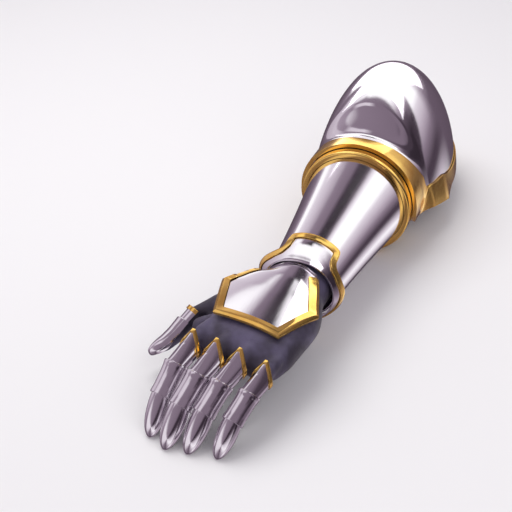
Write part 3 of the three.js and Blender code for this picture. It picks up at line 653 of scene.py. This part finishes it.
# down the side: station and angle of the edge, then of the inner side, and the wing's lift
CAP_WING = [
    (153.2, 22, 186, 21, 0), (153.2, 16, 189, 16.5, 0), (153.6, 12, 189, 16.4, 0),
    (161, 4, 189.2, 16.3, 0), (172, 3.4, 189.6, 16.1, 0), (182, 3.2, 191, 16, 0),
    (190, 2.6, 196, 15.1, 0.8), (202, 1, 205, 13.4, 2), (226, -1.6, 226, 11.4, 5),
    (238, -1.6, 238, 9, 2),
]
# the collar's angle round the arm at the cap's angle 0, and its change with it
COLLAR_TURN, COLLAR_TURN_RATE = 116.8, 1.298
# how far the band over the collar has widened at an angle, and how late it does
BAND_GAIN, BAND_GAIN_TURN, BAND_GAIN_POWER = 21, 88, 1.8
# the band round the back, by the cap's angle: its edge, its middle and its inner side
BACK_EDGE, BACK_MIDDLE, BACK_INNER = -1, 4, 7.5


def cap_edging_stations():
    strips, outs, lifts, rows = [], [], [], []
    for beta in np.linspace(90, 28, 25):
        turn = max(math.radians(COLLAR_TURN - beta * COLLAR_TURN_RATE), 0)
        gain = BAND_GAIN * (turn / math.radians(BAND_GAIN_TURN)) ** BAND_GAIN_POWER
        rows.append((CAP_WING[0][0], beta, CAP_COLLAR_BACK + 0.5 + gain, beta, 0))
    rows += between_rows(CAP_WING, 3).tolist()
    for y, beta, inner_y, inner_beta, lift in rows:
        start = np.array([y, math.radians(beta)])
        end = np.array([inner_y, math.radians(inner_beta)])
        strips.append(strip(cap_at, start, end))
        outs.append(outward(cap_at, *(start + (end - start) * 0.4)))
        lifts.append(lift)
    for theta in np.radians(np.linspace(3, 90, 30)):
        strips.append(strip(cap_behind, (theta, math.radians(BACK_EDGE)),
                            (theta, math.radians(BACK_INNER))))
        outs.append(outward(cap_behind, theta, math.radians(BACK_MIDDLE)))
        lifts.append(0)
    flip = np.array([-1, 1, 1])
    strips += [s * flip for s in strips[-2:0:-1]]
    outs += [o * flip for o in outs[-2:0:-1]]
    return strips, outs, lifts + lifts[-2:0:-1]


strips, outs, lifts = cap_edging_stations()
cap_profile = [((0, -2.1, 0), (0.8, -2.1, 0)), ((0, 2, 0), (0.8, 0.6, 0))]
for share, top in ((0, 2.1), (0.2, 2.05), (0.4, 2), (0.6, 1.95), (0.8, 1.9), (1, 1.8)):
    cap_profile.append(((6, top, share), (6, 0.6, share)))
edging("couter_trim", strips, outs, cap_profile, ring=True, lifts=lifts)


# ---------- wrist cuff ----------
# A flared steel cuff over the sleeve's front end. Its rear edge is cut to a tab over the forearm,
# with a notch and a lobe on each side, and a flat gold edging runs all round it.
CUFF_FRONT, CUFF_WALL, CUFF_ROLL, CUFF_MEAN_RADIUS = -10, 1.5, 13, 39
# radius by station, and the rear edge's station by angle
CUFF_ROWS = ((-10, -3, 6, 25), (34.6, 36.9, 38.4, 40.8))
CUFF_REAR = ((0, 20, 35, 38, 40, 46, 62, 85, 110, 140, 180),
             (22, 21.8, 21, 15, 7, 3, 2, 4.5, 3, 1, 1))
# the sides swell out beside the thumb and a little beside the little finger
THUMB_FLARE, LITTLE_FLARE, FLARE_TURN, FLARE_SPREAD, FLARE_RISE = 5.5, 1.0, 92, 30, 13
# the front dips over the back of the hand
CUFF_DIP, DIP_SPREAD, DIP_LENGTH = 2.4, 35, 22


def cuff_at(y, turn):
    """Outside of the cuff at a station and an angle in degrees from its middle line."""
    side = np.exp(-(((np.abs(turn) - FLARE_TURN) / FLARE_SPREAD) ** 2))
    flare = np.where(np.asarray(turn) < 0, THUMB_FLARE, LITTLE_FLARE) * side
    radius = eased(y, *CUFF_ROWS) + flare * smooth((y - CUFF_FRONT) / FLARE_RISE)
    angle = np.radians(np.asarray(turn) + CUFF_ROLL)
    crown = np.exp(-((angle / math.radians(DIP_SPREAD)) ** 2))
    radius = radius - CUFF_DIP * crown * (1 - smooth((y - CUFF_FRONT) / DIP_LENGTH))
    return point(radius * np.sin(angle), y, radius * np.cos(angle))


def cuff_out(turn):
    angle = np.radians(np.asarray(turn) + CUFF_ROLL)
    return point(np.sin(angle), 0, np.cos(angle))


MITRE_LIMIT = 0.6


def inset(path, width):
    """An open flat path moved sideways by width, with mitred corners."""
    path = np.asarray(path, float)
    before, after = path - np.roll(path, 1, 0), np.roll(path, -1, 0) - path
    before[0], after[-1] = after[0], before[-1]
    sides = []
    for way in (before, after):
        side = np.column_stack([way[:, 1], -way[:, 0]])
        sides.append(side / np.linalg.norm(side, axis=1, keepdims=True))
    mitre = sides[0] + sides[1]
    mitre /= np.linalg.norm(mitre, axis=1, keepdims=True)
    reach = np.maximum((mitre * sides[0]).sum(1), MITRE_LIMIT)
    return path + mitre * (width / reach)[:, None]


cuff_knots, cuff_rear = (np.array(row, float) for row in CUFF_REAR)
cuff_turns = np.concatenate([-cuff_knots[:0:-1], cuff_knots[:-1]])
cuff_path = np.column_stack([cuff_turns * math.radians(1) * CUFF_MEAN_RADIUS,
                             np.interp(np.abs(cuff_turns), cuff_knots, cuff_rear)])
CUFF_ROUND = 2 * math.pi * CUFF_MEAN_RADIUS
CUFF_PARTS = 5


def cuff_line(width):
    """The cuff's rear edge moved forward by width, its corners a little rounded."""
    whole = np.vstack([cuff_path - (CUFF_ROUND, 0), cuff_path, cuff_path + (CUFF_ROUND, 0)])
    parts = between_rows(inset(whole, width), CUFF_PARTS)
    for _ in range(2):
        parts[1:-1] = (parts[:-2] + 2 * parts[1:-1] + parts[2:]) / 4
    count = len(cuff_path) * CUFF_PARTS
    return parts[count:2 * count] / (math.radians(1) * CUFF_MEAN_RADIUS, 1)


CUFF_STEEL_INSET, CUFF_EDGING = 1.2, 6.5
steel_line = cuff_line(CUFF_STEEL_INSET)
cuff_share = np.linspace(0, 1, 16)
cuff_y = CUFF_FRONT + (steel_line[:, 1:] - CUFF_FRONT) * cuff_share
cuff_turn = np.broadcast_to(steel_line[:, :1], cuff_y.shape)
cuff_outer = cuff_at(cuff_y, cuff_turn)
closed_solid("cuff", walled(cuff_outer, cuff_outer - CUFF_WALL * cuff_out(cuff_turn)),
             steel, "steel", ring=True, edge=0.4)

edge_line, inner_line = cuff_line(0), cuff_line(CUFF_EDGING)
strips = [strip(cuff_at, (a[1], a[0]), (b[1], b[0])) for a, b in zip(edge_line, inner_line)]
edging("cuff_trim", strips, cuff_out(edge_line[:, 0]), [
           ((0, -1.2, 0), (0.7, -1.2, 0)), ((0, 1.1, 0), (0.7, 0.5, 0)),
           ((1.2, 1.1, 0), (1.2, 0.5, 0)), ((1.5, 1.5, 0), (1.5, 0.5, 0)),
           ((1.5, 1.5, 0.5), (1.5, 0.5, 0.5)), ((1.5, 1.4, 1), (1.5, 0.5, 1))],
       ring=True, edge=0.25)


# ---------- the hand's frames ----------
# The hand turns a little to the little finger's side and down at the wrist. Each finger plate has
# its own frame, turned down and aside on the one behind: x across, -y to the tip, z off the back.
def frame_at(place, x=0.0, y=0.0, z=0.0, order="XYZ"):
    angles = Euler([math.radians(v) for v in (x, y, z)], order)
    return Matrix.Translation(place) @ angles.to_matrix().to_4x4()


def placed(points, where):
    where = np.array(where)
    return np.asarray(points, float) @ where[:3, :3].T + where[:3, 3]


HAND = frame_at((0, 0, 0), 7, 0, -10.7)
PLATE_LENGTHS = (35, 28.4, 40)
KNUCKLE_CREST = 12.4
# size, out to the little finger, reach to the fingertips, peak off the hand; turns aside and down
FINGERS = {
    "index": (0.96, -38.5, 111, 23.6, (-5.1, 3.4, 2.9), (11.4, 17.9, 12.7)),
    "middle": (1, -11.6, 113, 25.4, (-6.8, 1, 1.6), (12.6, 13.8, 14)),
    "ring": (0.96, 12.4, 113, 23.8, (-8.8, 0.8, 0.1), (13.2, 13.9, 14.7)),
    "little": (0.89, 37, 112, 18.4, (-6.2, -0.8, -3.6), (11, 13.8, 20.8)),
}
finger_frames = {}
for finger, (size, out, reach, peak, aside, fall) in FINGERS.items():
    crest, pitch = KNUCKLE_CREST * size, math.radians(fall[0])
    place = (out, crest * math.sin(pitch) - reach, peak - crest * math.cos(pitch))
    knuckle = HAND @ frame_at(place, fall[0], 0, aside[0])
    middle = knuckle @ frame_at((0, -PLATE_LENGTHS[0] * size, 0), fall[1], 0, aside[1])
    tip = middle @ frame_at((0, -PLATE_LENGTHS[1] * size, 0), fall[2], 0, aside[2])
    finger_frames[finger] = (knuckle, middle, tip)
THUMB_PLACE, THUMB_ROLL, THUMB_LENGTH = (-70.4, -70.3, -4), -43, 17
thumb_start = frame_at(THUMB_PLACE, 21, THUMB_ROLL, -18, "YXZ")
thumb_base = HAND @ thumb_start
thumb_joint = thumb_start @ Vector((0, -THUMB_LENGTH, 0))
thumb_tip = HAND @ frame_at(thumb_joint, 13, THUMB_ROLL, -10, "YXZ")


# ---------- leather glove ----------
# A fitted glove of thin dark leather: the hand, four fingers and the thumb. The skin is drawn
# tight, sinks a little between the knuckles and gathers into soft folds where the plates end.
# stations from the wrist, then the middle, the half width, and the height over and under it
GLOVE_ROWS = (
    (-24, 0, 12, 28, 48, 72, 94, 106, 112, 116),
    (-4.4, 1.2, 1.5, -0.5, -0.5, -1, 0, -1, -1, -1),
    (29, 27.7, 28.5, 38.5, 45.5, 47, 46.5, 45.5, 44, 41),
    (26, 25.5, 25.5, 26, 26.5, 26.5, 24, 19, 14, 9),
    (31, 26, 25.5, 24, 21.5, 18, 14, 11, 9.5, 7.5),
)
GLOVE_WALL, GLOVE_CELL = 1.2, 1.5
# how boxy the hand's sections are: rounder at the wrist, up to where the hand begins
HAND_POWER, WRIST_POWER_GAIN, WRIST_BACK, WRIST_BLEND = 0.82, 0.18, 8, 14


def tube_rings(rows, sides=24):
    """Rings of a leather finger. Each row is a frame, a distance along it, a radius and a tilt."""
    angles = np.linspace(0, 2 * math.pi, sides, endpoint=False)
    rings = []
    for where, x, radius, tilt in rows:
        z = radius * np.cos(angles)
        leaned = x + z * math.tan(math.radians(tilt))
        rings.append(placed(point(radius * np.sin(angles), -leaned, z), where))
    return rings


def add_rings(form, rings):
    """A closed tube through rings, as one more body of the glove's form."""
    rows = [[form.verts.new(p) for p in in_metres(ring)] for ring in rings]
    count = len(rows[0])
    for a, b in zip(rows, rows[1:]):
        for j in range(count):
            form.faces.new((a[j], a[(j + 1) % count], b[(j + 1) % count], b[j]))
    form.faces.new(rows[0][::-1])
    form.faces.new(rows[-1])


def palm_rings():
    angles = np.linspace(0, 2 * math.pi, 72, endpoint=False)
    c, s = np.cos(angles), np.sin(angles)
    rings = []
    for v in np.linspace(GLOVE_ROWS[0][0], GLOVE_ROWS[0][-1], 60):
        middle, half, back, palm = (eased(v, GLOVE_ROWS[0], column) for column in GLOVE_ROWS[1:])
        power = HAND_POWER + WRIST_POWER_GAIN * (1 - smooth((v - WRIST_BACK) / WRIST_BLEND))
        x = middle + half * np.sign(c) * np.abs(c) ** power
        h = np.where(s > 0, back, palm) * np.sign(s) * np.abs(s) ** power
        rings.append(placed(point(x, -v, h), HAND))
    return rings


form = bmesh.new()
add_rings(form, palm_rings())
for finger, (knuckle, middle, tip) in finger_frames.items():
    size, fall = FINGERS[finger][0], FINGERS[finger][5]
    rows = [(knuckle, -24, 3, 0), (knuckle, -8, 7.6, 0), (knuckle, 8, 7.8, 0),
            (middle, 0, 8, -fall[1] / 2), (middle, 14, 7.9, 0), (tip, 0, 6.6, -fall[2] / 2),
            (tip, 14, 6.6, 0), (tip, 25, 5.4, 0), (tip, 33, 3.2, 0)]
    add_rings(form, tube_rings([(where, x * size, r * size, tilt) for where, x, r, tilt in rows]))
ball = [(HAND @ frame_at((u, -v, h), 0, 0, -40), 0, radius, 0)
        for u, v, h, radius in ((-12, 31, -2, 14), (-34, 42, -2, 17), (-53, 57, -3, 13.5))]
thumb = [(thumb_base, 0, 7, 0), (thumb_base, 12, 6.7, 0), (thumb_tip, 2, 6.7, 0)]
for shift, x, radius in (((-0.4, 0, 0.3), 14, 7.2), ((-1.9, 0, 1.8), 26, 6.4),
                         ((-3.9, 0, 3.7), 34, 4.2)):
    thumb.append((thumb_tip @ Matrix.Translation(shift), x, radius, 0))
add_rings(form, tube_rings(ball + thumb))
for left, right in (("index", "middle"), ("middle", "ring"), ("ring", "little")):
    web = []
    for x, radius in ((-20, 3), (-6, 4.2), (8, 4.2), (20, 3.6)):
        middle_line = [finger_frames[side][0] @ Vector((0, -x, -13)) for side in (left, right)]
        web.append((frame_at((middle_line[0] + middle_line[1]) / 2, 18, 0, -14), 0, radius, 0))
    add_rings(form, tube_rings(web))
thumb_web = ((-34, 70, 0, 9), (-46, 78, -2, 10), (-56, 82, -4, 9), (-64, 85, -6, 7))
add_rings(form, tube_rings([(HAND @ frame_at((u, -v, h), 0, 0, -80), 0, radius, 0)
                            for u, v, h, radius in thumb_web]))
bmesh.ops.recalc_face_normals(form, faces=form.faces)
glove_mesh = bpy.data.meshes.new("glove_shown")
form.to_mesh(glove_mesh)
form.free()
glove = bpy.data.objects.new("glove_shown", glove_mesh)
bpy.context.scene.collection.objects.link(glove)
remesh = glove.modifiers.new("one skin", "REMESH")
remesh.mode = "VOXEL"
remesh.voxel_size = GLOVE_CELL / 1000
relaxed = glove.modifiers.new("relaxed", "SMOOTH")
relaxed.factor = 0.5
relaxed.iterations = 12
worked(glove, 180)


WRIST_CUT = 22.5


def open_wrist(mesh):
    """Cuts the glove's closed wrist end away, so that the hand can go in."""
    form = bmesh.new()
    form.from_mesh(mesh)
    where = in_metres(placed([[0, WRIST_CUT, 0]], HAND))[0]
    way = np.array(HAND)[:3, :3] @ (0, 1, 0)
    parts = list(form.verts) + list(form.edges) + list(form.faces)
    bmesh.ops.bisect_plane(form, geom=parts, plane_co=where, plane_no=way, clear_outer=True)
    form.to_mesh(mesh)
    form.free()


open_wrist(glove.data)
wall = glove.modifiers.new("wall", "SOLIDIFY")
wall.thickness = GLOVE_WALL / 1000
wall.offset = -1
worked(glove, 60)
glove.data.materials.clear()
glove.data.materials.append(leather.material)
fitted(glove, "leather", "glove")


# ---------- hand plate ----------
# One arched steel plate over the back of the hand, folded down beside the thumb near the wrist,
# with a bevelled gold edging along its sides and front that comes to a point on each side.
PLATE_V = (4, 14, 25, 36, 46, 90)
PLATE_ROWS = {
    "crown": (29.5, 30, 30.5, 30.5, 30.5, 30), "fold": (20, 25, 34, 42.5, 60, 60),
    "thumb_half": (20, 28, 40.5, 48, 54, 33),
    "thumb_arch": (0.0175, 0.016, 0.006, 0.004, 0.0029, 0.0019),
    "little_half": (22, 28.5, 35, 41, 47, 35),
    "little_arch": (0.0175, 0.0135, 0.011, 0.009, 0.0075, 0.0041),
}
PLATE_WALL, PLATE_EDGING, FOLD_ARCH, PLATE_FRONT = 1.6, 8.5, 0.2, 88.8
# the steel stops this far inside the edging's outer line
THUMB_SIDE_INSET, LITTLE_SIDE_INSET = 1.8, 1.2


def plate_flat(u, v):
    """The plate in the hand's frame, arched, and folded down beyond its fold beside the thumb."""
    u, v = np.broadcast_arrays(np.asarray(u, float), np.asarray(v, float))
    rows = [PLATE_ROWS[row] for row in ("crown", "fold", "thumb_arch", "little_arch")]
    crown, fold, thumb, little = (eased(v, PLATE_V, row) for row in rows)
    past = np.maximum(-u - fold, 0)
    arch = np.where(u < 0, thumb, little) * u * u
    return point(u, -v, crown - arch - FOLD_ARCH * past * past)


def plate_at(u, v):
    return placed(plate_flat(u, v), HAND)


def plate_out(u, v):
    return -outward(plate_at, u, v)


def plate_half(side, v):
    return np.interp(v, PLATE_V, PLATE_ROWS["thumb_half" if side < 0 else "little_half"])


plate_parts = ((4, 14, 4), (14, 25, 5), (25, 36, 5), (36, 46, 5), (46, PLATE_FRONT, 15))
plate_v = np.concatenate(
    [np.linspace(a, b, n, endpoint=False) for a, b, n in plate_parts] + [[PLATE_FRONT]])
plate_share = np.linspace(0, 1, 49)[:, None]
plate_left = THUMB_SIDE_INSET - plate_half(-1, plate_v)
plate_right = plate_half(1, plate_v) - LITTLE_SIDE_INSET
plate_u = plate_left + (plate_right - plate_left) * plate_share
plate_grid_v = np.broadcast_to(plate_v, plate_u.shape)
plate_outer = plate_at(plate_u, plate_grid_v)
plate_inner = plate_outer - PLATE_WALL * plate_out(plate_u, plate_grid_v)
closed_solid("hand_plate", walled(plate_outer, plate_inner), steel, "steel", edge=0.4)

edging_v = np.array([14, 20, 25, 36, 46, 90])
right_side = [(plate_half(1, v), v) for v in (9, *edging_v)]
left_side = [(-plate_half(-1, v), v) for v in (90, *edging_v[::-1][1:-1], 17.5)]
plate_path = np.array(right_side + left_side)
plate_inset = inset(plate_path, -PLATE_EDGING)
strips, outs = [], []
for a, b in zip(between_rows(plate_path, 8), between_rows(plate_inset, 8)):
    strips.append(strip(plate_at, a, b))
    outs.append(plate_out(*(a + (b - a) * 0.3)))
edging("hand_plate_trim", strips, outs, [
    ((0, -1.9, 0), (0.8, -1.9, 0)), ((0, 0.9, 0), (0.8, 0.6, 0)), ((0.8, 1.4, 0), (0.8, 0.6, 0)),
    ((3.6, 2.6, 0), (3.6, 1.2, 0)), ((3.6, 2.1, 0.35), (3.6, 1.2, 0.35)),
    ((3.6, 1.7, 0.7), (3.6, 1.1, 0.7)), ((3.6, 1.3, 1), (3.6, 0.8, 1))], edge=0.25)


# ---------- knuckle plates ----------
# A ridged steel plate over each knuckle, with a flat crest and two flanks that grow round towards
# the finger joint. A narrow gold edging follows its cut-back rear edge.

# half a section from the crest down: across, up, how far the rear edge is cut back, turn in front
KNUCKLE_HALF = ((1.6, 12.4, 0, 9), (4.9, 8.6, 3.8, 32), (8.2, 4.8, 8, 56), (10.6, 0.4, 11.5, 84),
                (10.2, -5, 13, 105), (7.8, -8, 13.5, 125))
KNUCKLE_FRONT, PLATE_OVERLAP, FINGER_WALL = 9.5, 1.5, 1.2
KNUCKLE_EDGING, KNUCKLE_CREASE, FLANK_POWER = 4.2, 60, 1.3
half_rows = between_rows(KNUCKLE_HALF, 4)
knuckle_rows = np.vstack([half_rows[::-1] * (-1, 1, 1, -1), half_rows])


def knuckle_at(rows, x):
    """Outside of a knuckle plate of size 1, x millimetres in front of its crest."""
    t = (np.maximum(x / (PLATE_LENGTHS[0] + PLATE_OVERLAP), 0) ** FLANK_POWER)[..., None]
    turn = np.radians(rows[..., 3])
    rear = point(rows[..., 0], 0, rows[..., 1])
    front = point(KNUCKLE_FRONT * np.sin(turn), 0, KNUCKLE_FRONT * np.cos(turn))
    return (rear + (front - rear) * t) * (1, 0, 1) - point(0, x, 0)


def thinned(points, wall):
    """Points of a plate drawn in towards its finger's axis."""
    radius = np.hypot(points[..., 0], points[..., 2])
    return points * point(1 - wall / radius, 1, 1 - wall / radius)


for finger, (size, *_) in FINGERS.items():
    where = finger_frames[finger][0]
    share = np.linspace(0, 1, 22)
    start = knuckle_rows[:, 2:3] + 1
    x = start + (PLATE_LENGTHS[0] + PLATE_OVERLAP - start) * share
    rows = np.broadcast_to(knuckle_rows[:, None], (*x.shape, 4))
    outer = knuckle_at(rows, x)
    closed_solid(f"knuckle_plate_{finger}",
                 placed(walled(outer, thinned(outer, FINGER_WALL / size)) * size, where),
                 steel, "steel", edge=0.3, crease=KNUCKLE_CREASE)
    reach = np.linspace(0, KNUCKLE_EDGING, 5)
    rows = np.broadcast_to(knuckle_rows[:, None], (len(knuckle_rows), 5, 4))
    strips = knuckle_at(rows, knuckle_rows[:, 2:3] + reach) * size
    outs = strips[:, 0] * (1, 0, 1)
    outs /= np.linalg.norm(outs, axis=1, keepdims=True)
    turned = np.array(where)[:3, :3]
    edging(f"knuckle_trim_{finger}", placed(strips, where), outs @ turned.T, [
        ((0, -1.2, 0), (0.6, -1.2, 0)), ((0, 1.2, 0), (0.6, 0.35, 0)),
        ((0, 1.3, 0.5), (0, 0.35, 0.5)), ((0, 1.2, 1), (0, 0.35, 1))], edge=0.3)


# ---------- middle finger plates ----------
# A waisted steel tube, open along the palm side, with a rolled bead over the knuckle plate in
# front of the joint and a small flare over the fingertip plate.

# along, outer radius, inner radius
MIDDLE_ROWS = ((-2.2, 11.2, 10.6), (-1.2, 11.5, 10.6), (0.6, 11.4, 10.3), (3.5, 10.9, 9.8),
               (12, 10.5, 9.3), (21, 10.5, 9.3), (26, 10.8, 9.9), (29.8, 11.1, 10.3))
PLATE_WRAP = 118


def wrapped(outline, wrap, sides=56):
    """Sections of a plate bent round a finger, from a closed outline of (along, radius)."""
    turns = np.radians(np.linspace(-wrap, wrap, sides))[:, None]
    x, radius = outline[:, 0], outline[:, 1]
    return point(radius * np.sin(turns), -x, radius * np.cos(turns))


def gutter_outline(rows, count):
    """A closed outline of (along, radius) from rows of station, outer and inner radius."""
    stations, outer, inner = np.array(rows).T
    x = np.linspace(stations[0], stations[-1], count)
    return np.vstack([np.column_stack([x, eased(x, stations, outer)]),
                      np.column_stack([x, eased(x, stations, inner)])[::-1]])


def finger_plates(kind, joint, outline, edge):
    """A plate bent round every finger, in the frame of one of its joints."""
    for finger, (size, *_) in FINGERS.items():
        sections = placed(wrapped(outline, PLATE_WRAP) * size, finger_frames[finger][joint])
        closed_solid(f"finger_{kind}_{finger}", sections, steel, "steel", edge=edge)


finger_plates("mid", 1, rounded(gutter_outline(MIDDLE_ROWS, 40), 0.35, 2), 0.25)


# ---------- fingertip plates ----------
# A long steel hood closed over the end of each finger, its rear edge under the middle plate's
# flare.

# along, outer radius
TIP_ROWS = ((-3, 8.9), (3, 9.7), (11, 10), (20, 9.5), (28, 8.1), (34.5, 5.8), (38.5, 3), (40, 0))


def nose_line(rows, parts=6):
    """A smooth line through rows, square to the axis where it closes on it."""
    rows = np.asarray(rows, float)
    mirror = rows[-2].copy()
    mirror[1] *= -1
    knots = np.vstack([2 * rows[0] - rows[1], rows, mirror])
    line = []
    for k in range(1, len(rows)):
        a, b, c, d = knots[k - 1:k + 3]
        for t in np.linspace(0, 1, parts, endpoint=False):
            line.append(0.5 * (2 * b + (c - a) * t + (2 * a - 5 * b + 4 * c - d) * t ** 2
                               + (3 * b - a - 3 * c + d) * t ** 3))
    return np.vstack([line, rows[-1:]])


# the wall is measured along the finger at its very end, and none of it before this share of rows
NOSE_SHARE, NOSE_WALLS = 0.4, 1.7


def hood_outline(rows, wall):
    outer = nose_line(rows)
    inner = nose_line([
        (x - wall * max(k / (len(rows) - 1) - NOSE_SHARE, 0) * NOSE_WALLS, max(r - wall, 0))
        for k, (x, r) in enumerate(rows)])
    return np.vstack([outer, inner[::-1]])


finger_plates("tip", 2, hood_outline(TIP_ROWS, FINGER_WALL), 0.3)


# ---------- thumb ----------
# A short steel plate with a gold edging at its rear, and a long curved hood that widens over the
# thumb's end and sweeps aside.

# along, radius, wrap, sweep
THUMB_ROWS = ((-1.5, 10.8, 85, 0), (3, 10.4, 85, 0), (12, 9.7, 90, 0.3), (21, 9.3, 104, 1.4),
              (28, 8.8, 116, 3.2), (34, 7.3, 122, 5.4), (38.5, 4.6, 122, 7.3), (40.5, 0, 122, 8.2))
THUMB_SWEEP_TURN, THUMB_WRAP = -47, 85
# along, outer radius, inner radius
THUMB_PLATE_ROWS = ((0.8, 9.3, 8.2), (7, 9.1, 8), (13, 8.9, 7.8), (20, 8.6, 7.5))
THUMB_EDGING, THUMB_EDGING_RADIUS = 4, 9.3
thumb_sections = wrapped(gutter_outline(THUMB_PLATE_ROWS, 14), THUMB_WRAP)
closed_solid("thumb_plate", placed(thumb_sections, thumb_base), steel, "steel", edge=0.3)

thumb_turns = np.radians(np.linspace(-THUMB_WRAP, THUMB_WRAP, 40))
thumb_outs = point(np.sin(thumb_turns), 0, np.cos(thumb_turns))
thumb_strips = (thumb_outs[:, None] * THUMB_EDGING_RADIUS
                - point(0, np.linspace(0, THUMB_EDGING, 5), 0))
thumb_turned = np.array(thumb_base)[:3, :3]
edging("thumb_trim", placed(thumb_strips, thumb_base), thumb_outs @ thumb_turned.T, [
    ((0, -0.9, 0), (0.5, -0.9, 0)), ((0, 1.3, 0), (0.5, 0.4, 0)),
    ((0, 1.3, 1), (0, 0.4, 1))], edge=0.3)


def thumb_line(wall):
    """Along, radius, wrap and sweep of the thumb's hood, drawn in by a wall."""
    rows = np.array(THUMB_ROWS, float)
    last = len(rows) - 1
    rows[:, 0] -= wall * np.maximum(np.arange(last + 1) / last - NOSE_SHARE, 0) * NOSE_WALLS
    line = nose_line(np.column_stack([rows[:, 0], np.maximum(rows[:, 1] - wall, 0)]))
    whole = np.linspace(0, last, len(line))
    return np.column_stack(
        [line] + [np.interp(whole, range(last + 1), rows[:, k]) for k in (2, 3)])


x, radius, wrap, swept = np.vstack([thumb_line(0), thumb_line(FINGER_WALL)[::-1]]).T
turns = np.radians(np.linspace(-1, 1, 56)[:, None] * wrap)
sweep = math.radians(THUMB_SWEEP_TURN)
hood = point(radius * np.sin(turns) + swept * math.sin(sweep), -x,
             radius * np.cos(turns) + swept * math.cos(sweep))
closed_solid("thumb_tip", placed(hood, thumb_tip), steel, "steel", edge=0.3)


[[list(corner) for corner in box] for box in (cad_box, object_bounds())]
